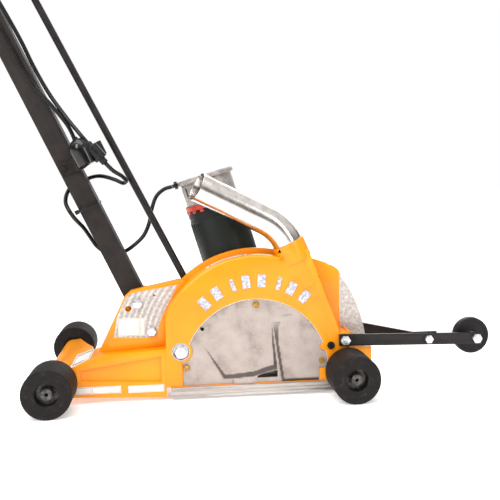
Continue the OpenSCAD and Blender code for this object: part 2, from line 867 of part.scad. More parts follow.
module blade_nut() {
    color([0.62, 0.62, 0.64])
    difference() {
        union() {
            ycyl(spin, blade_y - blade_t / 2 - 3, blade_y - blade_t / 2, 22);
            yhex(spin, blade_y - blade_t / 2 - 9, blade_y - blade_t / 2 - 3, 24);
        }
        ycyl(spin, 60, 100, 8 + fit);
    }
}

module blade() {
    segments = 16;
    color([0.50, 0.50, 0.52])
    difference() {
        ycyl(spin, blade_y - blade_t / 2, blade_y + blade_t / 2, blade_d / 2);
        ycyl(spin, 60, 130, 8 + fit);
        for (i = [0:segments - 1]) translate([spin[0], blade_y, spin[1]]) rotate([0, i * 360 / segments, 0])
            translate([-1.2, -5, blade_d / 2 - 9]) cube([2.4, 10, 12]);
    }
}

// ---------- pointer ----------

near_arm_y = 66;

module pointer_arm_near() {
    color([0.12, 0.11, 0.11])
    difference() {
        plate(near_arm_y, near_arm_y + arm_t) square_bar2d(arm_pivot, arm_tip, arm_h);
        for (p = [arm_pivot, arm_mid, arm_tip]) ycyl(p, near_arm_y - 1, near_arm_y + arm_t + 1, pin_r + fit);
    }
}

// The far arm in plan: along the ear, across to the near arm, then flat against it
far_plan = [[480, 218], [513, 218], [616, 74], [656, 74]];

module pointer_arm_far() {
    color([0.12, 0.11, 0.11])
    difference() {
        union() {
            translate([0, 0, 80]) linear_extrude(arm_h) {
                for (i = [0:1]) square_bar2d(far_plan[i], far_plan[i + 1], arm_t);
                intersection() {
                    square_bar2d(far_plan[2], far_plan[3], arm_t);
                    translate([500, near_arm_y + arm_t + 0.1]) square([300, 40]);
                }
            }
        }
        translate([400, near_arm_y - 10, 0]) cube([400, 10 + arm_t + 0.05, 200]);
        ycyl(arm_pivot, 200, 240, pin_r + fit);
        ycyl(arm_mid, 60, 100, pin_r + fit);
    }
}

module pointer_pivots() {
    far_y = far_plan[0][1];
    color([0.78, 0.78, 0.80]) {
        ycyl(arm_pivot, near_arm_y - gap, web_y + web_t, pin_r);
        yhex(arm_pivot, near_arm_y - gap - 5, near_arm_y - gap, 15);
        ycyl(arm_pivot, far_y - 16, far_y + arm_t / 2 + gap, pin_r);
        for (y = [far_y - 18.5, far_y + arm_t / 2 + gap]) yhex(arm_pivot, y, y + 5, 15);
    }
}

module pointer_bolts() {
    color([0.78, 0.78, 0.80]) {
        ycyl(arm_mid, near_arm_y, 84, pin_r);
        yhex(arm_mid, near_arm_y - 5, near_arm_y, 13);
        yhex(arm_mid, 78, 84, 13);
        ycyl(arm_tip, near_arm_y, 106, pin_r);
        yhex(arm_tip, near_arm_y - 5, near_arm_y, 15);
        yhex(arm_tip, 101.5, 107, 15);
        ycyl(arm_tip, near_arm_y + arm_t, blade_y - guide_w / 2 - gap, 8);
    }
}

module guide_wheel() {
    color([0.10, 0.10, 0.11])
    difference() {
        ycyl(arm_tip, blade_y - guide_w / 2, blade_y + guide_w / 2, guide_r);
        ycyl(arm_tip, 80, 110, pin_r + fit);
    }
}

place() guard_housing();
place() web_plate();
place() rear_frame();
place() handle_bracket_near();
place() handle_bracket_far();
place() front_beam();
place() skid_rail_near();
place() skid_rail_far();
place() blade_cover();
place() cover_screws();
place() web_screws();
place() raised_bars();
place() label_plates();
place() vac_elbow();
place() vac_tube();
place() pivot_bolt();
place() rear_axle();
place() front_axle();
place() wheel_rear_near();
place() wheel_rear_far();
place() wheel_front_near();
place() wheel_front_far();
place() bearings_rear_near();
place() bearings_rear_far();
place() bearings_front_near();
place() bearings_front_far();
place() handle_tube();
place() handle_bolts();
place() handlebar();
place() grip_near();
place() grip_far();
place() switch_box();
place() switch_rocker();
place() mains_inlet();
place() lever_bolt();
place() lift_lever();
place() lever_grip();
place() lift_rod();
place() cord_bracket();
place() cable_plug();
place() cord_connector();
place() zip_tie();
place() switch_lead();
place() motor_lead();
place() carriage_plate();
place() gear_head();
place() gear_head_screws();
place() motor_housing();
place() motor_band();
place() motor_adapter();
place() motor_lid();
place() cord_gland();
place() spindle();
place() blade_nut();
place() blade();
place() pointer_pivots();
place() pointer_arm_near();
place() pointer_arm_far();
place() pointer_bolts();
place() guide_wheel();
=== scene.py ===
"""The looks of a walk-behind concrete saw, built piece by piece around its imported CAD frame."""

import json
import math

import bmesh
import bpy
from mathutils import Matrix, Vector
from mathutils.bvhtree import BVHTree


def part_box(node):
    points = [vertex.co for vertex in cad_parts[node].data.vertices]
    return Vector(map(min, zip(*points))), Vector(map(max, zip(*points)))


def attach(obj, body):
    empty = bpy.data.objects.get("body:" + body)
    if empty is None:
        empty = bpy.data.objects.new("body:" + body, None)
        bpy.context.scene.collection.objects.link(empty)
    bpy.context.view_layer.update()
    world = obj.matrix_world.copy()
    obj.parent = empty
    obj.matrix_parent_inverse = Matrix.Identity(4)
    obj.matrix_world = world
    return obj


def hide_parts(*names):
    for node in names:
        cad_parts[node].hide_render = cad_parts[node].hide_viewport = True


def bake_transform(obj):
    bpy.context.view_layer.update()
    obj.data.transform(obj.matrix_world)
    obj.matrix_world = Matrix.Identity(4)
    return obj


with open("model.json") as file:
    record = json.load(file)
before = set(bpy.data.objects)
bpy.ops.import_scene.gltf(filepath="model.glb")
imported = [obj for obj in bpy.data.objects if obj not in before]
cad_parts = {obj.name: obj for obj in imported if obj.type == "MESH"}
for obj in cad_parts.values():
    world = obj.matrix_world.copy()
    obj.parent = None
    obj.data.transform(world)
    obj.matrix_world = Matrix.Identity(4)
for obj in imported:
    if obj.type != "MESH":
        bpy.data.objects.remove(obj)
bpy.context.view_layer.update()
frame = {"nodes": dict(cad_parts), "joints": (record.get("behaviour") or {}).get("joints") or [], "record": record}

# ---------------------------------------------------------------- Studio
# A pale seamless floor, a large soft box overhead, tall ones at the front left and front right, and
# a fill from the rear. The camera stands on the guard side and looks slightly forward and down.

joint_at = {joint["name"]: Vector(joint["pos_m"]) for joint in frame["joints"] if "pos_m" in joint}
REAR_AXLE_X = joint_at["rear_near_roll"].x
NEAR_FACE_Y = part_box("wheel_rear_near")[0].y


def at(x, y, z):
    """A point of the machine in metres, from mm forward of the rear axle, in from the near
    rollers' face, and up."""
    return Vector((REAR_AXLE_X + x / 1000, NEAR_FACE_Y + y / 1000, z / 1000))


CAMERA_PLACE = at(204.9, -1101.5, 376.6)
CAMERA_YAW = math.radians(6.18)
CAMERA_PITCH = math.radians(3.17)
CAMERA_ROLL = math.radians(0.88)

camera = bpy.data.cameras.new("camera")
camera.lens = 50.4
camera.sensor_width = 36.0
camera.shift_y = -0.0702
camera_object = bpy.data.objects.new("camera", camera)
bpy.context.scene.collection.objects.link(camera_object)
aim = Matrix.Rotation(-CAMERA_YAW, 4, "Z") @ Matrix.Rotation(math.pi / 2 - CAMERA_PITCH, 4, "X")
camera_object.matrix_world = (Matrix.Translation(CAMERA_PLACE) @ aim
                              @ Matrix.Rotation(-CAMERA_ROLL, 4, "Z"))
bpy.context.scene.camera = camera_object
bpy.context.scene.view_settings.view_transform = "Standard"


def colour(code):
    """An sRGB hex value as a linear colour."""
    channels = [int(code[i:i + 2], 16) / 255 for i in (1, 3, 5)]
    return [c / 12.92 if c < 0.04045 else ((c + 0.055) / 1.055) ** 2.4 for c in channels] + [1.0]


def add(tree, kind, sockets=None, stops=(), out=0, **settings):
    """Adds a node. A socket gets a value or another node's output.
    Stops are a ramp's places and hex colours."""
    made = tree.nodes.new(kind)
    for name, value in settings.items():
        setattr(made, name, value)
    for name, value in (sockets or {}).items():
        if isinstance(value, bpy.types.NodeSocket):
            tree.links.new(value, made.inputs[name])
        else:
            made.inputs[name].default_value = value
    for index, (position, code) in enumerate(stops):
        elements = made.color_ramp.elements
        element = elements[index] if index < len(elements) else elements.new(position)
        element.position = position
        element.color = colour(code)
    return made.outputs[out] if made.outputs else made


def begin(name):
    """An empty material, its tree and the object's own coordinates in it."""
    material = bpy.data.materials.new(name)
    material.use_nodes = True
    material.node_tree.nodes.clear()
    return material, material.node_tree, add(material.node_tree, "ShaderNodeTexCoord", out="Object")


def surface(name, low, high, patch_mm, grain_mm, height_mm, gloss, metallic=0.0, stretch=(1, 1, 1),
            shine=0.5):
    """A finish of two tones in soft patches, with a grain height_mm high.
    Its roughness lies between the two values of gloss."""
    material, tree, place = begin(name)
    drawn = add(tree, "ShaderNodeMapping", {"Vector": place, "Scale": stretch})
    patch = add(tree, "ShaderNodeTexNoise", {"Vector": drawn, "Scale": 1000 / patch_mm, "Detail": 3.0})
    grain = add(tree, "ShaderNodeTexNoise", {"Vector": drawn, "Scale": 1000 / grain_mm, "Detail": 2.0})
    mixed = add(tree, "ShaderNodeMath", {0: grain, 1: 0.35, 2: patch}, operation="MULTIPLY_ADD")
    tone = add(tree, "ShaderNodeValToRGB", {"Fac": mixed}, [(0.5, low), (0.85, high)])
    rough = add(tree, "ShaderNodeMapRange", {"Value": mixed, "From Min": 0.45, "From Max": 0.9,
                                             "To Min": gloss[0], "To Max": gloss[1]})
    relief = add(tree, "ShaderNodeBump", {"Height": grain, "Distance": height_mm / 1000})
    shader = add(tree, "ShaderNodeBsdfPrincipled",
                 {"Base Color": tone, "Roughness": rough, "Normal": relief,
                                                    "Metallic": metallic, "Specular IOR Level": shine})
    add(tree, "ShaderNodeOutputMaterial", {"Surface": shader})
    return material


def link(name, mesh):
    made = bpy.data.objects.new(name, mesh)
    bpy.context.scene.collection.objects.link(made)
    return made


# Back-lit opal acrylic: white and matt, with a slight glow that lightens the shadows on it.
backdrop, tree, place = begin("back_lit_opal_acrylic")
haze = add(tree, "ShaderNodeTexNoise", {"Vector": place, "Scale": 1000 / 300, "Detail": 2.0})
tone = add(tree, "ShaderNodeValToRGB", {"Fac": haze}, [(0.2, "#F6F6F5"), (0.8, "#FCFCFB")])
add(tree, "ShaderNodeOutputMaterial", {"Surface": add(tree, "ShaderNodeBsdfPrincipled", {
    "Base Color": tone, "Roughness": 0.9, "Emission Color": colour("#FFFFFF"), "Emission Strength": 0.3})})
FLOOR_REACH = 12.0
floor_mesh = bpy.data.meshes.new("floor")
floor_mesh.from_pydata([(x * FLOOR_REACH, y * FLOOR_REACH, 0) for x,
                        y in ((-1, -1), (1, -1), (1, 1), (-1, 1))],
                       [], [(0, 1, 2, 3)])
floor_mesh.materials.append(backdrop)
link("floor", floor_mesh)

# The room is white from above and darker round its walls, so that polished metal has something to
# reflect. Seen directly it is plain white.
world = bpy.data.worlds.new("studio")
world.use_nodes = True
sky = world.node_tree
sky.nodes.clear()
height = add(sky, "ShaderNodeSeparateXYZ", {"Vector": add(sky, "ShaderNodeTexCoord", out="Generated")},
             out="Z")
walls = add(sky, "ShaderNodeValToRGB", {"Fac": height},
            [(0.0, "#A4A2A0"), (0.22, "#6A6866"), (0.5, "#F4F3F2"), (1.0, "#FFFFFF")])
room = add(sky, "ShaderNodeBackground", {"Color": walls, "Strength": 1.0})
backdrop_light = add(sky, "ShaderNodeBackground", {"Color": colour("#FFFFFF"), "Strength": 1.0})
seen = add(sky, "ShaderNodeLightPath", out="Is Camera Ray")
both = add(sky, "ShaderNodeMixShader", {0: seen, 1: room, 2: backdrop_light})
add(sky, "ShaderNodeOutputWorld", {"Surface": both})
bpy.context.scene.world = world

MIDDLE = at(250, 150, 200)


def soft_box(name, offset, size, power):
    """A rectangular area light, offset from the machine's middle and turned to it."""
    light = bpy.data.lights.new(name, "AREA")
    light.shape = "RECTANGLE"
    light.size, light.size_y = size
    light.energy = power
    lamp = bpy.data.objects.new(name, light)
    bpy.context.scene.collection.objects.link(lamp)
    lamp.location = MIDDLE + Vector(offset)
    lamp.rotation_euler = (-Vector(offset)).to_track_quat("-Z", "Y").to_euler()


soft_box("overhead_box", (-0.4, -0.5, 1.9), (2.6, 1.2), 34)
soft_box("front_left_box", (-1.5, -2.0, 1.5), (0.8, 1.6), 36)
soft_box("front_right_box", (1.6, -2.0, 0.9), (0.5, 1.6), 14)
soft_box("rear_fill_box", (0.9, 2.2, 1.2), (1.6, 1.6), 20)

# ---------------------------------------------------------------- Yellow castings
# Guard, web, rear frame, handle brackets and front beam: sand-cast aluminium, machined where parts
# meet and powder painted orange-yellow. Cast edges are full, and machined ones are left crisp.


def paint_shader(tree, place):
    """Glossy powder paint over a casting: slow drift of tone, orange peel, and a trace of sand."""
    drift = add(tree, "ShaderNodeTexNoise", {"Vector": place, "Scale": 1000 / 60, "Detail": 2.0})
    peel = add(tree, "ShaderNodeTexNoise", {"Vector": place, "Scale": 1000 / 3, "Detail": 1.0})
    sand = add(tree, "ShaderNodeTexNoise", {"Vector": place, "Scale": 1000 / 10, "Detail": 4.0})
    tone = add(tree, "ShaderNodeValToRGB", {"Fac": drift},
               [(0.25, "#E98802"), (0.5, "#EE9003"), (0.8, "#F39806")])
    skin = add(tree, "ShaderNodeBump", {"Height": peel, "Distance": 0.00006, "Strength": 0.5})
    below = add(tree, "ShaderNodeBump",
                {"Height": sand, "Distance": 0.00045, "Strength": 0.5, "Normal": skin})
    rough = add(tree, "ShaderNodeMapRange", {"Value": sand, "To Min": 0.24, "To Max": 0.42})
    return add(tree, "ShaderNodeBsdfPrincipled",
               {"Base Color": tone, "Roughness": rough, "Normal": below,
                                                  "Coat Weight": 0.12, "Coat Roughness": 0.1,
                                                  "Specular IOR Level": 0.35})


def milled_shader(tree, place, centre, pitch_mm):
    """Bare aluminium face-milled in arcs about a centre, its raised tool paths pitch_mm apart."""
    local = add(tree, "ShaderNodeVectorMath", {0: place, 1: centre}, operation="SUBTRACT")
    flat = add(tree, "ShaderNodeVectorMath", {0: local, 1: (1, 0, 1)}, operation="MULTIPLY")
    far = add(tree, "ShaderNodeVectorMath", {0: flat}, operation="LENGTH", out="Value")
    drift = add(tree, "ShaderNodeTexNoise", {"Vector": place, "Scale": 1000 / 25, "Detail": 3.0})
    turns = add(tree, "ShaderNodeMath", {0: far, 1: 2 * math.pi * 1000 / pitch_mm}, operation="MULTIPLY")
    swirl = add(tree, "ShaderNodeMath", {0: drift, 1: 0.8, 2: turns}, operation="MULTIPLY_ADD")
    mark = add(tree, "ShaderNodeMath", {0: swirl}, operation="SINE")
    lip = add(tree, "ShaderNodeMath", {0: mark, 1: 0.86}, operation="GREATER_THAN")
    grit = add(tree, "ShaderNodeTexNoise",
               {"Vector": place, "Scale": 1000 / 5, "Detail": 5.0, "Roughness": 0.7})
    mixed = add(tree, "ShaderNodeMath", {0: mark, 1: 0.07, 2: grit}, operation="MULTIPLY_ADD")
    lifted = add(tree, "ShaderNodeMath", {0: lip, 1: 0.11, 2: mixed}, operation="MULTIPLY_ADD")
    tone = add(tree, "ShaderNodeValToRGB", {"Fac": lifted},
               [(0.3, "#9D9691"), (0.52, "#BDB5B0"), (0.75, "#E3DDD9")])
    rough = add(tree, "ShaderNodeMapRange", {"Value": grit, "To Min": 0.55, "To Max": 0.35})
    relief = add(tree, "ShaderNodeBump", {"Height": lifted, "Distance": 0.0003, "Strength": 0.5})
    return add(tree, "ShaderNodeBsdfPrincipled",
               {"Base Color": tone, "Metallic": 0.55, "Roughness": rough,
                                                  "Normal": relief})


# Orange-yellow powder paint: glossy, with orange peel and the casting's sand faintly below it.
yellow_paint, tree, place = begin("glossy_yellow_powder_paint")
add(tree, "ShaderNodeOutputMaterial", {"Surface": paint_shader(tree, place)})
# Face-milled cast aluminium: bare and bright, with raised tool paths in wide arcs.
milled_pocket, tree, place = begin("face_milled_aluminium")
add(tree, "ShaderNodeOutputMaterial", {"Surface": milled_shader(tree, place, at(341, 100, 71), 9.0)})
# Freshly cut aluminium edge: bright, fine and slightly blue.
cut_edge = surface("bright_cut_aluminium_edge", "#CFCDD6", "#F2F1F6", 5, 1, 0.02, (0.25, 0.4), 0.7)

BODY_OF = {node: body for body,
           members in frame["record"]["behaviour"]["bodies"].items() for node in members}
CREASE = math.radians(30)


def bake_modifiers(piece):
    """Turns a piece with live modifiers into a plain mesh."""
    bpy.context.view_layer.update()
    evaluated = piece.evaluated_get(bpy.context.evaluated_depsgraph_get())
    mesh = bpy.data.meshes.new_from_object(evaluated)
    piece.modifiers.clear()
    piece.data = mesh


def hand_over(piece, *nodes, crease=CREASE):
    """Shades a finished piece, and makes it stand for CAD nodes on their body."""
    for face in piece.data.polygons:
        face.use_smooth = True
    piece.data.set_sharp_from_angle(angle=crease)
    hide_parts(*nodes)
    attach(piece, BODY_OF[nodes[0]])
    return piece


def as_mesh(work, name):
    """Turns a finished bmesh into a mesh and frees it."""
    mesh = bpy.data.meshes.new(name)
    work.to_mesh(mesh)
    work.free()
    return mesh


def rounded(name, nodes, material, width_mm, segments=3, weight=None, second=None, second_where=None):
    """A copy of CAD nodes with every crease rounded over width_mm, or over weight's share of it.
    The faces that second_where picks get the second material."""
    work = bmesh.new()
    for node in nodes:
        part = bmesh.new()
        part.from_mesh(frame["nodes"][node].data)
        bmesh.ops.remove_doubles(part, verts=part.verts, dist=0.00002)
        bmesh.ops.dissolve_limit(part, angle_limit=math.radians(0.4), verts=part.verts, edges=part.edges)
        work.from_mesh(as_mesh(part, name))
    layer = work.edges.layers.float.new("bevel_weight_edge")
    for edge in work.edges:
        if len(edge.link_faces) == 2 and edge.calc_face_angle(0) > CREASE:
            edge[layer] = weight((edge.verts[0].co + edge.verts[1].co) / 2) if weight else 1.0
    mesh = as_mesh(work, name)
    mesh.materials.append(material)
    piece = link(name, mesh)
    if width_mm:
        rounding = piece.modifiers.new("rounding", "BEVEL")
        rounding.width = width_mm / 1000
        rounding.segments = segments
        rounding.limit_method = "WEIGHT"
        rounding.use_clamp_overlap = weight is None
        rounding.miter_outer = "MITER_ARC"
        bake_modifiers(piece)
    if second:
        piece.data.materials.append(second)
        for face in piece.data.polygons:
            face.material_index = 1 if second_where(face.center, face.normal) else 0
    return hand_over(piece, *nodes)


def side_distance(point, x, z):
    """Distance of a point from machine position x, z in the side view, in mm."""
    centre = at(x, 0, z)
    return math.hypot(point.x - centre.x, point.z - centre.z) * 1000


def machine_y(point):
    return (point.y - NEAR_FACE_Y) * 1000


SILL_TOP_Z = 0.0245
GUARD_CENTRE, GUARD_R = (341, 71), 172
COVER_SEAT, COVER_SEAT_R = (339, 43), 124
PIVOT_SEAT, PIVOT_BORE_R = (211, 82), 14.8
NEAR_WALL_Y = 72
POCKET_FLOOR_Y = 100.5


def guard_edge(point):
    """The guard's outer near edge is cast with a full radius, and the rest are small."""
    if abs(machine_y(point) - NEAR_WALL_Y) < 0.3 and abs(side_distance(point, *GUARD_CENTRE) - GUARD_R) < 1.5:
        return 1.0
    return 0.04 if point.z < SILL_TOP_Z else 0.16


def guard_is_machined(point, normal):
    """The rim of the cover's opening and the counterbore of the pivot are machined after painting."""
    in_opening = abs(side_distance(point, *COVER_SEAT) - COVER_SEAT_R) < 1.0 and machine_y(point) < 80.5
    in_pivot = side_distance(point, *PIVOT_SEAT) < PIVOT_BORE_R and machine_y(point) < 78.5
    return in_opening or in_pivot


rounded("guard_casting", ["guard_housing"], yellow_paint, 6, 4, guard_edge, cut_edge, guard_is_machined)

MACHINED_FRONT_X = at(494, 0, 0).x
web_finish, tree, place = begin("yellow_paint_with_milled_front")
forward = add(tree, "ShaderNodeSeparateXYZ", {"Vector": place}, out="X")
bare = add(tree, "ShaderNodeMath", {0: forward, 1: MACHINED_FRONT_X}, operation="GREATER_THAN")
halves = add(tree, "ShaderNodeMixShader", {0: bare, 1: paint_shader(tree, place),
                                           2: milled_shader(tree, place, at(326, 112, 64), 2.6)})
add(tree, "ShaderNodeOutputMaterial", {"Surface": halves})
rounded("web_casting", ["web_plate"], web_finish, 1.0)
rounded("rear_casting", ["rear_frame"], yellow_paint, 2.0)


def in_pocket(point, normal):
    return abs(machine_y(point) - POCKET_FLOOR_Y) < 0.7 and normal.y < -0.5


rounded("near_bracket_casting", ["handle_bracket_near"], yellow_paint, 1.2, 3, None, milled_pocket,
        in_pocket)
rounded("far_bracket_casting", ["handle_bracket_far"], yellow_paint, 1.5)
rounded("front_beam_casting", ["front_beam"], yellow_paint, 1.5)

# ---------------------------------------------------------------- Skid rails
# Two extruded aluminium rails screwed under the guard, one each side of the blade slot. Their
# faces are drawn smooth, with two grooves, and scratched lengthwise by the slab.

# Extruded aluminium: dull silver, with its tone and scratches drawn out along the rail.
drawn_aluminium = surface("drawn_aluminium_rail", "#9F9792", "#D3CCC7", 8, 1.5, 0.05, (0.3, 0.5), 0.6,
                          (0.06, 1, 1))
rounded("near_skid_rail", ["skid_rail_near"], drawn_aluminium, 0.4, 2)
rounded("far_skid_rail", ["skid_rail_far"], drawn_aluminium, 0.4, 2)

# ---------------------------------------------------------------- Blade cover
# A sand-cast aluminium cover, left bare. A fan-shaped panel swells out towards a low slot that
# lets air in, and a second panel rises on its right. Flats are linished; the steep steps get painted shade.

FACE_Y = 74.0
COVER_WALL_MM = 3.2
COVER_R = 123.6
PIVOT_SEAT_R = 19.9
SIDE_SEAT, SIDE_SEAT_R = (458, 82), 8.4
COVER_FOOT_Z = 23.4
TONGUE_X, TONGUE_TOP_Z = (213.9, 243.9), 65.4
NOTCH_X, NOTCH_TOP_Z = 447.6, 46
COLUMNS, ROWS = 160, 92
GRID_MM = 1.6


def right_of(p, q, x, z):
    """How far x, z lies to the right of the line from p to q."""
    dx, dz = q[0] - p[0], q[1] - p[1]
    return ((x - p[0]) * dz - (z - p[1]) * dx) / math.hypot(dx, dz)


def between(value, places):
    """A height read off a line through (place, height) points."""
    for (a, low), (b, high) in zip(places, places[1:]):
        if value <= b:
            return low + (high - low) * max(0.0, (value - a) / (b - a))
    return places[-1][1]


def fan_foot(x):
    """The lower border of the underside of the fan panel."""
    return between(x, [(298, 31.5), (334, 33.5), (341, 35.5), (358, 41), (373, 44)])


def cover_height(x, z):
    """How far the cover stands out from its flat face, in mm."""
    fan = min(0.06 * right_of((250, 90), (366, 128), x, z), 0.6 * right_of((287, 25), (250, 90), x, z),
              0.8 * right_of((366, 128), (377, 30), x, z), 0.4 * (z - fan_foot(x)))
    lip = min(0.6 * (fan_foot(x) - z), 0.3 * (x - 297), 0.3 * (343 - x), 3.2)
    edge = right_of((382, 30), (368, 126), x, z) if z < 126 else right_of((368, 126), (346, 162), x, z)
    panel = min(between(z, [(90, 0.55), (140, 0.06)]) * edge, 0.5 * (z - 23), 2.6)
    return max(0.0, fan, lip, panel)


SLOT_X, SLOT_Z = (341, 376), 31
SCREW_HOLES = ((340, 158, 3.0), (220, 54, 3.0), (452, 58, 3.0), (248, 119, 3.2))


def in_cover(x, z):
    """Whether a place in the side view is within the cover, outside its slot and its holes."""
    place = (x, z)
    if z < COVER_FOOT_Z or (x > NOTCH_X and z < NOTCH_TOP_Z) or math.dist(place, PIVOT_SEAT) < PIVOT_SEAT_R:
        return False
    if (math.dist(place, SIDE_SEAT) < SIDE_SEAT_R
            or any(math.dist(place, (cx, cz)) < r for cx, cz, r in SCREW_HOLES)):
        return False
    if SLOT_X[0] < x < SLOT_X[1] and SLOT_Z < z < fan_foot(x) - 0.8:
        return False
    return math.dist(place, COVER_SEAT) < COVER_R or (TONGUE_X[0] < x < TONGUE_X[1] and z < TONGUE_TOP_Z)


def onto_edge(x, z):
    """The place on the cover's border that is nearest to a grid corner, found along 32 directions."""
    best = (x, z)
    reach = 2.0 * GRID_MM
    start = in_cover(x, z)
    for k in range(32):
        dx, dz = math.cos(math.pi * k / 16), math.sin(math.pi * k / 16)
        low, high = 0.0, reach
        if in_cover(x + reach * dx, z + reach * dz) == start:
            continue
        for _ in range(12):
            middle = (low + high) / 2
            if in_cover(x + middle * dx, z + middle * dz) == start:
                low = middle
            else:
                high = middle
        if high < reach:
            reach, best = high, (x + high * dx, z + high * dz)
    return best


work = bmesh.new()
corners = {}
for column in range(COLUMNS):
    for row in range(ROWS):
        x, z = TONGUE_X[0] + column * GRID_MM, COVER_FOOT_Z + row * GRID_MM
        if in_cover(x + GRID_MM / 2, z + GRID_MM / 2):
            spots = [(column, row), (column + 1, row), (column + 1, row + 1), (column, row + 1)]
            for i, j in spots:
                if (i, j) not in corners:
                    corners[i, j] = work.verts.new((TONGUE_X[0] + i * GRID_MM, 0,
                                                    COVER_FOOT_Z + j * GRID_MM))
            work.faces.new([corners[spot] for spot in spots])
for vert in [v for v in work.verts if v.is_boundary]:
    x, z = onto_edge(vert.co.x, vert.co.z)
    vert.co = (x, 0, z)
# Painted shade: each corner gets a share by the relief's slope, so steep steps are painted dark; the lip stays
# bright.
painted_step_shade = work.verts.layers.float.new("painted_step_shade")
for vert in work.verts:
    x, z = vert.co.x, vert.co.z
    level = cover_height(x, z)
    slope = math.hypot(cover_height(x + 0.8, z) - cover_height(x - 0.8, z),
                       cover_height(x, z + 0.8) - cover_height(x, z - 0.8)) / 1.6
    is_lip = 299 < x < 342 and z < fan_foot(x)
    vert[painted_step_shade] = 0.0 if is_lip else min(1.0, max(0.0, (slope - 0.15) / 0.2))
    vert.co = at(x, FACE_Y - level, z)
bmesh.ops.recalc_face_normals(work, faces=work.faces)
if sum(face.normal.y for face in work.faces) > 0:
    bmesh.ops.reverse_faces(work, faces=work.faces)
mesh = as_mesh(work, "blade_cover_casting")

cast_cover, tree, place = begin("sand_cast_aluminium_with_painted_step_shade")
step_shade_share = add(tree, "ShaderNodeAttribute", out="Fac", attribute_name="painted_step_shade")
cloud = add(tree, "ShaderNodeTexNoise",
            {"Vector": place, "Scale": 1000 / 45, "Detail": 4.0, "Roughness": 0.6})
sand = add(tree, "ShaderNodeTexNoise", {"Vector": place, "Scale": 1000 / 2.2, "Detail": 4.0})
mottle = add(tree, "ShaderNodeMath", {0: sand, 1: 0.22, 2: cloud}, operation="MULTIPLY_ADD")
flat_tone = add(tree, "ShaderNodeValToRGB", {"Fac": mottle},
                [(0.4, "#8C8079"), (0.58, "#AC9F98"), (0.85, "#BBB0A9")])
# The painted shade tone: a dark grey-brown that the steps' share mixes in over the flat tone.
painted_shade_tone = add(tree, "ShaderNodeValToRGB", {"Fac": mottle}, [(0.4, "#463E3A"), (0.8, "#6B625D")])
skin = add(tree, "ShaderNodeMix", {0: step_shade_share, 6: flat_tone, 7: painted_shade_tone}, out=2, data_type="RGBA")
relief = add(tree, "ShaderNodeBump", {"Height": sand, "Distance": 0.0003, "Strength": 0.6})
add(tree, "ShaderNodeOutputMaterial", {"Surface": add(tree, "ShaderNodeBsdfPrincipled", {
    "Base Color": skin, "Metallic": 0.35, "Roughness": 0.6, "Normal": relief})})
mesh.materials.append(cast_cover)
cover = link("blade_cover_casting", mesh)
wall = cover.modifiers.new("wall", "SOLIDIFY")
wall.thickness = COVER_WALL_MM / 1000
wall.offset = -1.0
bake_modifiers(cover)
hand_over(cover, "blade_cover", crease=math.radians(40))

# Yellow-passivated steel screws: brass-coloured, with a slight rainbow drift.
passivated = surface("yellow_passivated_steel", "#7E5A2A", "#C99A4A", 4, 0.8, 0.02, (0.35, 0.55), 0.6)
rounded("cover_screw_heads", ["cover_screws"], passivated, 0.5, 2)
# Black oxidised socket screw: dark, slightly oily steel.
black_oxide = surface("black_oxidised_steel", "#100F10", "#2A2829", 5, 1, 0.02, (0.3, 0.5), 0.5)
rounded("web_socket_screw", ["web_screws"], black_oxide, 0.4, 2)

# ---------------------------------------------------------------- Raised bars and label plates
# Plain bars stand out round the guard, cast in one with it and linished bare after painting. Thin
# white vinyl plates are stuck to the pocket, the rear frame, the deck and the guard's rim. They
# carry no wording, only a thin printed frame on some.

# Linished cast aluminium: bluish silver, with the pits of the casting left in it.
linished = surface("linished_cast_aluminium", "#8F8F99", "#DFDFE8", 4, 1.0, 0.15, (0.35, 0.55), 0.45)
rounded("raised_bars_linished", ["raised_bars"], linished, 0.6, 2)
# Vinyl film: warm white, smooth and slightly satin.
white_vinyl = surface("white_vinyl_film", "#D3CDC6", "#E6E1DB", 18, 2, 0.01, (0.35, 0.45))
# Printed frame of the labels: grey ink on the same film.
grey_ink = surface("grey_ink_on_vinyl", "#6E6A68", "#8D8986", 12, 2, 0.01, (0.4, 0.5))


FIRST_PANEL_SHARE = 0.35
LEAST_PANEL_M2 = 0.0001


def printed_frame(piece, plates, margin_mm, line_mm):
    """Cuts each plate into two panels and prints a thin frame in every large face of the label."""
    work = bmesh.new()
    work.from_mesh(piece.data)
    for low, high in plates:
        cut = low + (high - low) * FIRST_PANEL_SHARE
        near = [f for f in work.faces if low.x < f.calc_center_median().x < high.x]
        parts = near + [e for f in near for e in f.edges] + [v for f in near for v in f.verts]
        bmesh.ops.bisect_plane(work, geom=list(dict.fromkeys(parts)), plane_co=cut, plane_no=(1, 0, 0))
    large = [f for f in work.faces
             if f.calc_area() > LEAST_PANEL_M2 and (f.normal.y < -0.7 or f.normal.z > 0.5)]
    bmesh.ops.inset_individual(work, faces=large, thickness=margin_mm / 1000, use_even_offset=True)
    ring = bmesh.ops.inset_individual(work, faces=large, thickness=line_mm / 1000, use_even_offset=True)
    piece.data.materials.append(grey_ink)
    for face in ring["faces"]:
        face.material_index = 1
    work.to_mesh(piece.data)
    work.free()


labels = rounded("label_films", ["label_plates"], white_vinyl, 0.15, 1)
REAR_PLATE = (at(35, 72, 10), at(111, 72, 30))
FRONT_PLATE = (at(121, 72, 10), at(183, 72, 30))
printed_frame(labels, [REAR_PLATE, FRONT_PLATE], 0.9, 0.5)


FILM_LIFT_MM = 0.25
FILM_THICKNESS = 0.0002


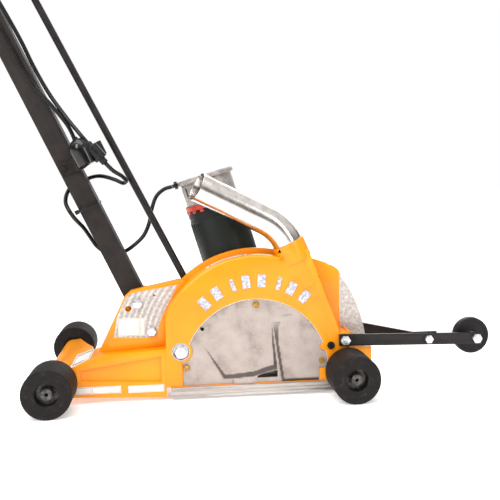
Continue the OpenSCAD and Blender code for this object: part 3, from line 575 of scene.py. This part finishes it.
def laid_label(name, corners, level):
    """A film over the plan quadrilateral of four machine corners, just above the level at each x and y."""
    work = bmesh.new()
    columns, rows = 28, 12
    grid = []
    for j in range(rows + 1):
        row = []
        for i in range(columns + 1):
            u, v = i / columns, j / rows
            (ax, ay), (bx, by), (cx, cy), (dx, dy) = corners
            x = (1 - v) * ((1 - u) * ax + u * bx) + v * ((1 - u) * dx + u * cx)
            y = (1 - v) * ((1 - u) * ay + u * by) + v * ((1 - u) * dy + u * cy)
            row.append(work.verts.new(at(x, y, level(x, y) + FILM_LIFT_MM)))
        grid.append(row)
    for low, high in zip(grid, grid[1:]):
        for i in range(columns):
            face = work.faces.new((low[i], low[i + 1], high[i + 1], high[i]))
            on_line = i in (2, columns - 3) or low in (grid[1], grid[rows - 2])
            inside = 1 < i < columns - 2 and low not in (grid[0], grid[rows - 1])
            face.material_index = 1 if on_line and inside else 0
    bmesh.ops.recalc_face_normals(work, faces=work.faces)
    mesh = as_mesh(work, name)
    mesh.materials.append(white_vinyl)
    mesh.materials.append(grey_ink)
    piece = link(name, mesh)
    film = piece.modifiers.new("film", "SOLIDIFY")
    film.thickness = FILM_THICKNESS
    film.offset = 1.0
    bake_modifiers(piece)
    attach(piece, "frame")


deck = frame["nodes"]["rear_frame"].data
deck_tree = BVHTree.FromPolygons([vert.co for vert in deck.vertices],
                                 [face.vertices for face in deck.polygons])


def rim_level(x, y):
    """The guard's rim is a cylinder about its own centre."""
    return GUARD_CENTRE[1] + math.sqrt(GUARD_R ** 2 - (x - GUARD_CENTRE[0]) ** 2)


def deck_level(x, y):
    """The rear frame's top, found from above."""
    found = deck_tree.ray_cast(at(x, y, 400), Vector((0, 0, -1)))[0]
    return found.z * 1000 if found else 60.0


laid_label("rim_label_film", [(257, 79), (327, 79), (327, 94), (257, 94)], rim_level)
laid_label("deck_label_film", [(27, 71), (57, 89), (57, 178), (27, 163)], deck_level)

# ---------------------------------------------------------------- Vacuum tube
# A bent 2 in stainless tube, polished and pushed into the guard's collar. Its mouth is cut at a
# slight slant, and its edges are broken.

COLLAR_TOP = (398.5, 260.5)
DUCT_TILT = math.radians(155)
BEND_R, BEND_DEG = 87.7, 38
STRAIGHT_MM = 135
TUBE_R, TUBE_WALL, SPIGOT_R = 25.4, 1.65, 25.0
MOUTH_SLANT = math.tan(math.radians(13))
SLANT_START_MM = 60
BLADE_PLANE_Y = 94


def swept(name, stations, sides, material, closed=False):
    """A skin through rings. A station is a centre, a direction and a radius in metres. Ends are capped."""
    work = bmesh.new()
    rings = []
    side = None
    for centre, direction, radius in stations:
        direction = direction.normalized()
        if side is None:
            side = direction.orthogonal() if abs(direction.y) > 0.9 else Vector((0, 1, 0))
        side = (side - direction * side.dot(direction)).normalized()
        other = direction.cross(side)
        rings.append([work.verts.new(centre + radius * (math.cos(2 * math.pi * k / sides) * side
                                                        + math.sin(2 * math.pi * k / sides) * other))
                      for k in range(sides)])
    pairs = list(zip(rings, rings[1:])) + ([(rings[-1], rings[0])] if closed else [])
    for low, high in pairs:
        for k in range(sides):
            work.faces.new((low[k], low[(k + 1) % sides], high[(k + 1) % sides], high[k]))
    if not closed:
        work.faces.new(rings[0][::-1])
        work.faces.new(rings[-1])
    bmesh.ops.recalc_face_normals(work, faces=work.faces)
    mesh = as_mesh(work, name)
    mesh.materials.append(material)
    return link(name, mesh)


out_of_collar = Vector((-math.sin(DUCT_TILT), 0, -math.cos(DUCT_TILT)))
to_outside = Vector((-math.cos(DUCT_TILT), 0, math.sin(DUCT_TILT)))
collar = at(COLLAR_TOP[0], BLADE_PLANE_Y, COLLAR_TOP[1])
bend_centre = collar - to_outside * BEND_R / 1000
path = [(collar - out_of_collar * 0.015, out_of_collar, SPIGOT_R),
        (collar - out_of_collar * 0.001, out_of_collar, SPIGOT_R),
        (collar, out_of_collar, TUBE_R)]
BEND_STEPS = 20
for i in range(1, BEND_STEPS + 1):
    angle = math.radians(BEND_DEG * i / BEND_STEPS)
    ray = math.cos(angle) * to_outside + math.sin(angle) * out_of_collar
    path.append((bend_centre + ray * BEND_R / 1000,
                 math.cos(angle) * out_of_collar - math.sin(angle) * to_outside,
                 TUBE_R))
axis = path[-1][1]
bend_end = path[-1][0]
for mm in (2, 45, 90, STRAIGHT_MM - 2.5, STRAIGHT_MM - 1.2, STRAIGHT_MM - 0.5):
    path.append((bend_end + axis * mm / 1000, axis, TUBE_R))
path.append((bend_end + axis * STRAIGHT_MM / 1000, axis, TUBE_R - 0.4))
inner = [(centre, direction, radius - TUBE_WALL) for centre, direction, radius in path[::-1][1:]]
path.append((bend_end + axis * STRAIGHT_MM / 1000, axis, TUBE_R - TUBE_WALL + 0.4))
stations = [(centre, direction, radius / 1000) for centre, direction, radius in path + inner]

# Polished stainless steel: a slightly warm mirror, unevenly clouded, with a very fine grain.
polished_steel, tree, place = begin("polished_stainless_steel")
cloud = add(tree, "ShaderNodeTexNoise", {"Vector": place, "Scale": 1000 / 14, "Detail": 4.0})
tone = add(tree, "ShaderNodeValToRGB", {"Fac": cloud}, [(0.3, "#C9C1BB"), (0.7, "#E6E0DC")])
rough = add(tree, "ShaderNodeMapRange", {"Value": cloud, "To Min": 0.12, "To Max": 0.26})
fine = add(tree, "ShaderNodeTexNoise", {"Vector": place, "Scale": 1000 / 1.5, "Detail": 2.0})
relief = add(tree, "ShaderNodeBump", {"Height": fine, "Distance": 0.00001, "Strength": 0.4})
add(tree, "ShaderNodeOutputMaterial", {"Surface": add(tree, "ShaderNodeBsdfPrincipled", {
    "Base Color": tone, "Metallic": 1.0, "Roughness": rough, "Normal": relief})})
tube = swept("polished_vacuum_tube", stations, 72, polished_steel, closed=True)
for vert in tube.data.vertices:
    along = (vert.co - bend_end).dot(axis) * 1000
    if along > SLANT_START_MM:
        from_far_side = TUBE_R - (vert.co.y - bend_end.y) * 1000
        vert.co -= (axis * MOUTH_SLANT * from_far_side
                    * (along - SLANT_START_MM) / (STRAIGHT_MM - SLANT_START_MM) / 1000)
hand_over(tube, "vac_elbow", "vac_tube")

# ---------------------------------------------------------------- Pivot bolt, axles and rollers
# Steel axles turned and left bare, black rubber-covered rollers on ball bearings, and bright zinc
# bolts. The bearings sit in counterbores behind spring rings, and the treads are scuffed grey.

# Zinc plating: bright, slightly mottled and bluish.
zinc = surface("bright_zinc_plate", "#B9B9BF", "#F0F0F3", 5, 1.2, 0.03, (0.22, 0.4), 0.8)
rounded("pivot_bolt_zinc", ["pivot_bolt"], zinc, 0.8, 3)
# Turned steel axle: darker, with a film of oil and dust in its centre bores.
axle_steel = surface("turned_axle_steel", "#2E2B29", "#6B6763", 9, 1.5, 0.03, (0.35, 0.55), 0.6)
rounded("rear_axle_bar", ["rear_axle"], axle_steel, 1.0, 3)
rounded("front_axle_bar", ["front_axle"], axle_steel, 1.0, 3)

# Hard black rubber: dull, with grey dust ground into the tread and fine scuffs.
roller_rubber, tree, place = begin("scuffed_black_rubber")
scuff = add(tree, "ShaderNodeTexNoise",
            {"Vector": place, "Scale": 1000 / 12, "Detail": 6.0, "Roughness": 0.7})
speck = add(tree, "ShaderNodeTexNoise", {"Vector": place, "Scale": 1000 / 1.6, "Detail": 2.0})
worn = add(tree, "ShaderNodeMath", {0: speck, 1: 0.25, 2: scuff}, operation="MULTIPLY_ADD")
tone = add(tree, "ShaderNodeValToRGB", {"Fac": worn},
           [(0.45, "#0F0C0C"), (0.72, "#1B1716"), (0.9, "#4A413D")])
relief = add(tree, "ShaderNodeBump", {"Height": worn, "Distance": 0.0003, "Strength": 0.6})
rough = add(tree, "ShaderNodeMapRange", {"Value": worn, "To Min": 0.42, "To Max": 0.8})
add(tree, "ShaderNodeOutputMaterial", {"Surface": add(tree, "ShaderNodeBsdfPrincipled", {
    "Base Color": tone, "Roughness": rough, "Normal": relief, "Specular IOR Level": 0.22})})
# Ground bearing steel behind old grease: dark, with a soft metal shine.
bearing_steel = surface("ground_bearing_steel", "#2D2B2A", "#5E5B59", 6, 1, 0.02, (0.3, 0.5), 0.7)
for corner_name in ("rear_near", "rear_far", "front_near", "front_far"):
    rounded("roller_" + corner_name, ["wheel_" + corner_name], roller_rubber, 1.6, 4)
    rounded("ball_bearings_" + corner_name, ["bearings_" + corner_name], bearing_steel, 0.3, 2)

# ---------------------------------------------------------------- Drive unit
# A cast carriage plate swings on the pivot bolt and carries the gear head and the blade. The motor
# stands on it: moulded dark green housing with cooling ribs, red band, aluminium adapter and lid.

# Bead-blasted aluminium: flat mid grey. Die-cast aluminium: lighter and a little smoother.
cast_grey = surface("bead_blasted_aluminium", "#787572", "#9C9894", 10, 1.5, 0.08, (0.45, 0.65), 0.5)
bright_cast = surface("die_cast_aluminium", "#8F8884", "#ABA4A0", 12, 1.5, 0.08, (0.35, 0.55), 0.5)
rounded("carriage_casting", ["carriage_plate"], cast_grey, 1.0, 3)
rounded("gear_head_casting", ["gear_head"], cast_grey, 1.5, 3)
rounded("gear_head_cap_screws", ["gear_head_screws"], black_oxide, 0.4, 2)

MOTOR_FOOT, MOTOR_LEAN = at(338, 176, 120.5), math.radians(-16.5)
MOTOR = Matrix.Translation(MOTOR_FOOT) @ Matrix.Rotation(MOTOR_LEAN, 4, "Y")


def turned(name, frame_matrix, profile, sides, material):
    """A body of revolution about the frame's Z, from (height, radius) pairs in mm."""
    up = frame_matrix.to_3x3() @ Vector((0, 0, 1))
    return swept(name, [(frame_matrix @ Vector((0, 0, h / 1000)), up, r / 1000) for h, r in profile],
                 sides, material)


# Glass-filled plastic moulding: very dark green, satin, with a fine spark-eroded grain.
motor_green = surface("dark_green_moulded_plastic", "#0B100D", "#151C18", 25, 1.1, 0.06, (0.36, 0.5),
                      shine=0.25)
housing = turned("motor_housing_moulding", MOTOR,
                 [(60, 48.5), (60.8, 50), (62, 51), (68, 52), (70, 52), (71, 51.4), (74, 51.4), (75, 52),
                  (120, 51.4), (170, 50.8), (196, 50.4), (197, 49.6), (200, 49.6), (201, 50.3),
                  (213, 50.1),
                  (214.4, 49.6), (215, 48.6)], 96, motor_green)


def ring_tree():
    """Geometry Nodes: copies of a template round an arc in the XY plane, facing outwards."""
    tree = bpy.data.node_groups.new("ring_of_copies", "GeometryNodeTree")
    face = tree.interface
    face.new_socket("Geometry", in_out="OUTPUT", socket_type="NodeSocketGeometry")
    for name, kind in (("Template", "NodeSocketObject"), ("Count", "NodeSocketInt"),
                       ("Radius", "NodeSocketFloat"),
                       ("Start", "NodeSocketFloat"), ("Sweep", "NodeSocketFloat"),
                       ("Finish", "NodeSocketMaterial")):
        face.new_socket(name, in_out="INPUT", socket_type=kind)
    entry = tree.nodes.new("NodeGroupInput").outputs
    points = add(tree, "GeometryNodePoints", {"Count": entry["Count"]})
    index = add(tree, "GeometryNodeInputIndex")
    last = add(tree, "ShaderNodeMath", {0: entry["Count"], 1: 1.0}, operation="SUBTRACT")
    share = add(tree, "ShaderNodeMath", {0: index, 1: last}, operation="DIVIDE")
    angle = add(tree, "ShaderNodeMath", {0: share, 1: entry["Sweep"], 2: entry["Start"]},
                operation="MULTIPLY_ADD")
    east = add(tree, "ShaderNodeMath", {0: angle}, operation="COSINE")
    north = add(tree, "ShaderNodeMath", {0: angle}, operation="SINE")
    ray = add(tree, "ShaderNodeCombineXYZ", {"X": east, "Y": north})
    spot = add(tree, "ShaderNodeVectorMath", {0: ray, "Scale": entry["Radius"]}, operation="SCALE")
    placed = add(tree, "GeometryNodeSetPosition", {"Geometry": points, "Position": spot})
    turn = add(tree, "ShaderNodeCombineXYZ", {"Z": angle})
    shape = add(tree, "GeometryNodeObjectInfo", {"Object": entry["Template"]}, out="Geometry")
    copies = add(tree, "GeometryNodeInstanceOnPoints",
                 {"Points": placed, "Instance": shape, "Rotation": turn})
    solid = add(tree, "GeometryNodeRealizeInstances", {"Geometry": copies})
    finished = add(tree, "GeometryNodeSetMaterial", {"Geometry": solid, "Material": entry["Finish"]})
    exit_node = tree.nodes.new("NodeGroupOutput")
    tree.links.new(finished, exit_node.inputs["Geometry"])
    return tree


RING = ring_tree()


def ring_of(name, template, count, radius_mm, start_deg, sweep_deg, frame_matrix, material):
    """Copies of a template mesh round an arc in a frame's XY plane, as one plain mesh."""
    stencil = link(name + "_template", template)
    piece = link(name, bpy.data.meshes.new(name))
    copies = piece.modifiers.new("ring", "NODES")
    copies.node_group = RING
    values = {"Template": stencil, "Count": count, "Radius": radius_mm / 1000,
              "Start": math.radians(start_deg),
              "Sweep": math.radians(sweep_deg), "Finish": material}
    for socket in RING.interface.items_tree:
        if socket.in_out == "INPUT":
            copies[socket.identifier] = values[socket.name]
    bake_modifiers(piece)
    bpy.data.objects.remove(stencil)
    piece.data.transform(frame_matrix)
    return piece


def block(name, low, high, chamfer_mm, segments=2):
    """A box between two corners in mm, with its edges rounded."""
    work = bmesh.new()
    bmesh.ops.create_cube(work, size=1.0)
    for vert in work.verts:
        vert.co = Vector([(low[i] + high[i]) / 2 + vert.co[i] * (high[i] - low[i]) for i in range(3)]) / 1000
    bmesh.ops.bevel(work, geom=work.edges[:], offset=chamfer_mm / 1000, segments=segments, profile=0.5,
                    affect="EDGES", clamp_overlap=True)
    return as_mesh(work, name)


def cap_screw(name, head_r, head_h, socket_r):
    """A socket cap screw's head, standing on Z = 0, in mm."""
    work = bmesh.new()
    sides = 24
    round_turns = [math.radians(15 * k) for k in range(sides)]
    hex_turns = [math.radians(60 * (k // 4) + 15 * (k % 4) * 0.999) for k in range(sides)]
    levels = [(head_r, 0, round_turns), (head_r, head_h - 0.5, round_turns),
              (head_r - 0.5, head_h, round_turns), (socket_r * 1.15, head_h, round_turns),
              (socket_r, head_h, hex_turns), (socket_r, head_h * 0.4, hex_turns)]
    rings = [[work.verts.new((r / 1000 * math.cos(a), r / 1000 * math.sin(a), h / 1000)) for a in turns]
             for r, h, turns in levels]
    for low, high in zip(rings, rings[1:]):
        for k in range(sides):
            work.faces.new((low[k], low[(k + 1) % sides], high[(k + 1) % sides], high[k]))
    work.faces.new(rings[0][::-1])
    work.faces.new(rings[-1])
    return as_mesh(work, name)


def join(name, pieces):
    """One object from several, keeping their materials."""
    bpy.ops.object.select_all(action="DESELECT")
    for piece in pieces:
        piece.select_set(True)
    bpy.context.view_layer.objects.active = pieces[0]
    bpy.ops.object.join()
    pieces[0].name = name
    return pieces[0]


cooling_ribs = ring_of("cooling_ribs", block("rib", (-1.0, -1.1, 76), (0.9, 1.1, 192), 0.6), 17, 50.4,
                       130, 100, MOTOR,
                       motor_green)
hand_over(join("motor_housing_moulding", [housing, cooling_ribs]), "motor_housing")

# Red moulded band: glossy plastic clamped between the housing and the adapter.
band_red = surface("red_moulded_plastic", "#9E1D0C", "#C8321A", 10, 1, 0.03, (0.3, 0.4))
band = turned("motor_red_band", MOTOR, [(215.2, 50), (215.8, 50.9), (223, 50.9), (223.8, 50.2)], 96,
              band_red)
scallops = ring_of("band_scallops", block("scallop", (-1.4, -4, 210.5), (0.4, 4, 217), 1.0, 3), 18,
                   50.6, 0, 340, MOTOR,
                   band_red)
hand_over(join("motor_red_band", [band, scallops]), "motor_band")
rounded("motor_adapter_casting", ["motor_adapter"], bright_cast, 0.8, 2)
LID_PROFILE = [(264, 50.5), (264.8, 51.6), (266, 52), (270.4, 52), (271.4, 51.5), (271.8, 50.6),
               (271.8, 34), (270.8, 33), (270.8, 20), (271.8, 19)]
lid = turned("motor_lid_casting", MOTOR, LID_PROFILE, 96, bright_cast)
lid_screws = ring_of("lid_screws", cap_screw("lid_screw", 4.5, 3.4, 2.4), 4, 42, 45, 270,
                     MOTOR @ Matrix.Translation((0, 0, 0.2686)), black_oxide)
hand_over(join("motor_lid_casting", [lid, lid_screws]), "motor_lid")
# Nylon gland: black, slightly waxy.
gland_black = surface("black_moulded_nylon", "#0A0909", "#151314", 8, 1, 0.02, (0.3, 0.45), shine=0.3)
rounded("motor_cord_gland", ["cord_gland"], gland_black, 0.4, 2)
rounded("drive_spindle", ["spindle"], axle_steel, 0.5, 2)
rounded("blade_clamp_nut", ["blade_nut"], zinc, 0.6, 2)

# Blade: a tempered steel core with sintered diamond segments, dusted with concrete.
blade_steel, tree, place = begin("ground_blade_steel")
local = add(tree, "ShaderNodeVectorMath", {0: place, 1: joint_at["blade_spin"]}, operation="SUBTRACT")
flat = add(tree, "ShaderNodeVectorMath", {0: local, 1: (1, 0, 1)}, operation="MULTIPLY")
far = add(tree, "ShaderNodeVectorMath", {0: flat}, operation="LENGTH", out="Value")
grind = add(tree, "ShaderNodeTexNoise", {"Vector": add(tree, "ShaderNodeCombineXYZ", {"X": far}),
                                         "Scale": 1000 / 1.5, "Detail": 2.0})
SEGMENT_INNER_R = 0.106
edge_zone = add(tree, "ShaderNodeMath", {0: far, 1: SEGMENT_INNER_R}, operation="GREATER_THAN")
core = add(tree, "ShaderNodeValToRGB", {"Fac": grind}, [(0.3, "#75736F"), (0.7, "#B5B3AF")])
rim = add(tree, "ShaderNodeValToRGB", {"Fac": grind}, [(0.3, "#5A4E42"), (0.7, "#857868")])
skin = add(tree, "ShaderNodeMix", {0: edge_zone, 6: core, 7: rim}, out=2, data_type="RGBA")
relief = add(tree, "ShaderNodeBump", {"Height": grind, "Distance": 0.00004})
add(tree, "ShaderNodeOutputMaterial", {"Surface": add(tree, "ShaderNodeBsdfPrincipled", {
    "Base Color": skin, "Metallic": 0.8, "Roughness": 0.4, "Normal": relief})})
rounded("diamond_blade", ["blade"], blade_steel, 0.3, 1)

# ---------------------------------------------------------------- Handle
# A square steel tube and a round crossbar, welded and finished in black wrinkle powder. Rubber
# grips are pushed on, and the switch box is screwed to the near face.

# Wrinkle powder coat: warm black and matt, with a fine raised texture.
black_powder = surface("black_wrinkle_powder_coat", "#1A1514", "#2B2421", 30, 1.3, 0.2, (0.5, 0.7),
                       shine=0.25)
rounded("handle_tube_coated", ["handle_tube"], black_powder, 3.0, 4)
rounded("handle_bolts_zinc", ["handle_bolts"], zinc, 0.7, 3)
rounded("handlebar_coated", ["handlebar"], black_powder, 1.0, 2)

HANDLE_FOOT, HANDLE_LEAN = at(162, 134.5, 113), math.radians(-25.3)
HANDLE = Matrix.Translation(HANDLE_FOOT) @ Matrix.Rotation(HANDLE_LEAN, 4, "Y")
BAR_ALONG_MM = 943
GRIP_MM = 112
BAR_HALF_MM = 180
# Grip rubber: near black and dull, with a fine moulded grain.
grip_rubber = surface("black_grip_rubber", "#0F0E0E", "#1C1A1A", 8, 1.0, 0.06, (0.5, 0.7), shine=0.25)


def grip_profile(length, low_r, high_r, pitch, end_r):
    """A ribbed sleeve: (distance, radius) pairs with a flange at its start and a rounded end."""
    profile = [(0, end_r), (0.4, high_r), (5, high_r), (6, low_r)]
    distance = 8.0
    while distance < length - 8:
        profile += [(distance, low_r), (distance + 0.6, low_r + 1.0),
                    (distance + pitch - 2.6, low_r + 1.0),
                    (distance + pitch - 2, low_r)]
        distance += pitch
    return profile + [(length - 4, low_r + 0.6), (length - 1.2, low_r), (length, end_r)]


for side, node in ((-1, "grip_near"), (1, "grip_far")):
    start = HANDLE @ Matrix.Translation((0, side * (BAR_HALF_MM - GRIP_MM) / 1000, BAR_ALONG_MM / 1000))
    grip_frame = start @ Matrix.Rotation(-side * math.pi / 2, 4, "X")
    grip = turned("ribbed_" + node, grip_frame, grip_profile(GRIP_MM, 15.8, 17.5, 6.0, 14.2), 48,
                  grip_rubber)
    hand_over(grip, node)

# Black ABS with a fine moulded grain for the switch box and mains plug, and a glossier red rocker.
box_black = surface("black_moulded_abs", "#0D0D0E", "#181819", 15, 1.2, 0.05, (0.4, 0.55), shine=0.3)
rocker_red = surface("red_moulded_rocker", "#A81509", "#CE2715", 12, 1, 0.02, (0.25, 0.35))
rounded("switch_box_moulding", ["switch_box"], box_black, 2.5, 4)
rounded("switch_rocker_moulding", ["switch_rocker"], rocker_red, 1.0, 3)
rounded("mains_plug_housing", ["mains_inlet"], box_black, 0.8, 2)

# ---------------------------------------------------------------- Lift lever and rod
# Two laser-cut steel legs on a bolt through the handle, with rubber sleeves on the hand bar, and a
# half-inch rod with an eye at each end that lifts the drive unit.

rounded("lever_bolt_zinc", ["lever_bolt"], zinc, 0.6, 3)
rounded("lift_lever_coated", ["lift_lever"], black_powder, 0.8, 2)
rounded("lever_grip_rubber", ["lever_grip"], grip_rubber, 1.5, 3)
# Painted steel: satin black, almost smooth.
rod_black = surface("satin_black_painted_steel", "#100C0C", "#1E1918", 20, 1.5, 0.04, (0.3, 0.45),
                    shine=0.3)
rounded("lift_rod_painted", ["lift_rod"], rod_black, 1.0, 3)

# ---------------------------------------------------------------- Pointer
# Two flat bars bolted together carry a small wheel in line with the cut. The bars are painted
# black, the bolts are bright zinc, and the wheel is turned from black plastic.

rounded("pointer_near_bar", ["pointer_arm_near"], rod_black, 0.8, 3)
rounded("pointer_far_bar", ["pointer_arm_far"], rod_black, 0.8, 3)
rounded("pointer_bolts_zinc", ["pointer_bolts"], zinc, 0.7, 3)
rounded("pointer_pivots_zinc", ["pointer_pivots"], zinc, 0.7, 3)
GUIDE = Matrix.Translation(at(729, BLADE_PLANE_Y, 86)) @ Matrix.Rotation(-math.pi / 2, 4, "X")
# Turned acetal: black and satin, with a faint tool grain.
guide_plastic = surface("turned_black_acetal", "#0D0B0B", "#1A1717", 10, 1.2, 0.05, (0.4, 0.55),
                        shine=0.25)
GUIDE_PROFILE = [(-7, 5.06), (-7, 10), (-6.2, 10.6), (-6.2, 25), (-7, 25.8), (-7, 30.6), (-6.2, 31.6),
                 (-5, 32), (5, 32), (6.2, 31.6), (7, 30.6), (7, 25.8), (6.2, 25), (6.2, 10.6), (7, 10),
                 (7, 5.06)]
guide = turned("guide_wheel_turned", GUIDE, GUIDE_PROFILE, 96, guide_plastic)
hand_over(guide, "guide_wheel")

# ---------------------------------------------------------------- Cords and their fittings
# A webbing strap holds a moulded plug against the handle, and a chamfered connector joins the
# switch lead to the motor lead. The leads are 7 mm rubber cord with a soft sheen.

LEAD_R = 3.5
SWITCH_ROUTE = [(-107.6, 108, 730.3), (-97, 108, 708), (-80, 112, 678), (-60, 118, 640), (-42, 120, 604),
                (-24, 120, 564), (0, 116, 520), (28, 106, 480), (50, 91, 453), (64, 87, 436)]
SECOND_ROUTE = [(-125.8, 108, 721.9), (-115, 107, 698), (-92, 107, 658), (-68, 109, 612),
                (-46, 111, 568),
                (-22, 111, 530), (4, 109, 500), (29, 106, 468), (40.7, 105, 444.4)]
MOTOR_ROUTE = [(92.9, 87, 401.6), (105, 92, 389), (118, 104, 380), (124, 116, 372), (118, 126, 368),
               (104, 132, 374), (84, 138, 380), (67, 152, 380), (48, 160, 374), (28, 157,
                                                                                 364), (20, 148, 352),
               (20, 126, 338), (26, 111, 326), (36, 111, 310), (48, 132, 292), (56, 148, 276), (66, 158,
                                                                                                258),
               (80, 162, 246), (98, 162, 242), (116, 160, 246), (134, 158, 258), (150, 158, 274),
               (160, 160, 296), (165, 166, 320), (173, 173, 342), (187, 176, 355), (202, 176, 359.7)]


def smooth_route(route, steps):
    """A smooth curve through a route's points, in metres."""
    points = [at(*point) for point in route]
    points = [2 * points[0] - points[1]] + points + [2 * points[-1] - points[-2]]
    curve = []
    for i in range(1, len(points) - 2):
        a, b, c, d = points[i - 1:i + 3]
        for k in range(steps):
            t = k / steps
            curve.append(0.5 * (2 * b + (c - a) * t + (2 * a - 5 * b + 4 * c - d) * t * t
                                + (3 * b - a - 3 * c + d) * t ** 3))
    return curve + [points[-2]]


def lead(name, route, steps):
    """A round cord along a route."""
    curve = smooth_route(route, steps)
    stations = [(point, curve[min(i + 1, len(curve) - 1)] - curve[max(i - 1, 0)], LEAD_R / 1000)
                for i, point in enumerate(curve)]
    return swept(name, stations, 16, cord_rubber)


# Rubber-sheathed cord: black, smooth and a little shiny, so it shows a long thin highlight.
cord_rubber = surface("black_rubber_cord_sheath", "#080707", "#131110", 15, 1.5, 0.02, (0.22, 0.35),
                      shine=0.3)
hand_over(join("switch_leads_sheathed", [lead("switch_lead_long", SWITCH_ROUTE, 10),
                                         lead("switch_lead_short", SECOND_ROUTE, 10)]), "switch_lead")
motor_cord = lead("motor_lead_sheathed", MOTOR_ROUTE, 8)
for face in motor_cord.data.polygons:
    face.use_smooth = True
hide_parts("motor_lead")
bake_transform(motor_cord)
# Glossy black dome of the moulded plug: soft vinyl, polished by handling.
dome_black = surface("glossy_black_vinyl", "#050505", "#0E0D0D", 12, 3, 0.01, (0.12, 0.2), shine=0.5)
PLUG = HANDLE @ Matrix.Translation((0.034, -0.0435, 0.325))
plug = turned("cord_plug_moulding", PLUG,
              [(-24, 15), (-22.5, 17), (2, 18), (9, 17.4), (15, 15.2), (19.5, 11.5), (22, 7.5),
               (22.6, 5), (26, 4.6)],
              48, dome_black)
hand_over(plug, "cable_plug")
rounded("cord_connector_moulding", ["cord_connector"], gland_black, 1.5, 3)
rounded("nylon_cord_tie", ["zip_tie"], gland_black, 0.4, 2)
# Woven webbing: dull warm black. A grain of 2 mm stands for its weave.
webbing = surface("woven_black_webbing", "#15100F", "#2A2320", 7, 2.0, 0.3, (0.65, 0.85), shine=0.2)
strap = rounded("webbing_strap", ["cord_bracket"], webbing, 0.8, 2)
to_handle = HANDLE.inverted()
for vert in strap.data.vertices:
    local = to_handle @ vert.co
    sag = between(local.x * 1000, [(-15, 0), (8, -3), (26, -5), (48, 0), (70, 4)])
    vert.co = HANDLE @ (local + Vector((0, 0, sag / 1000)))
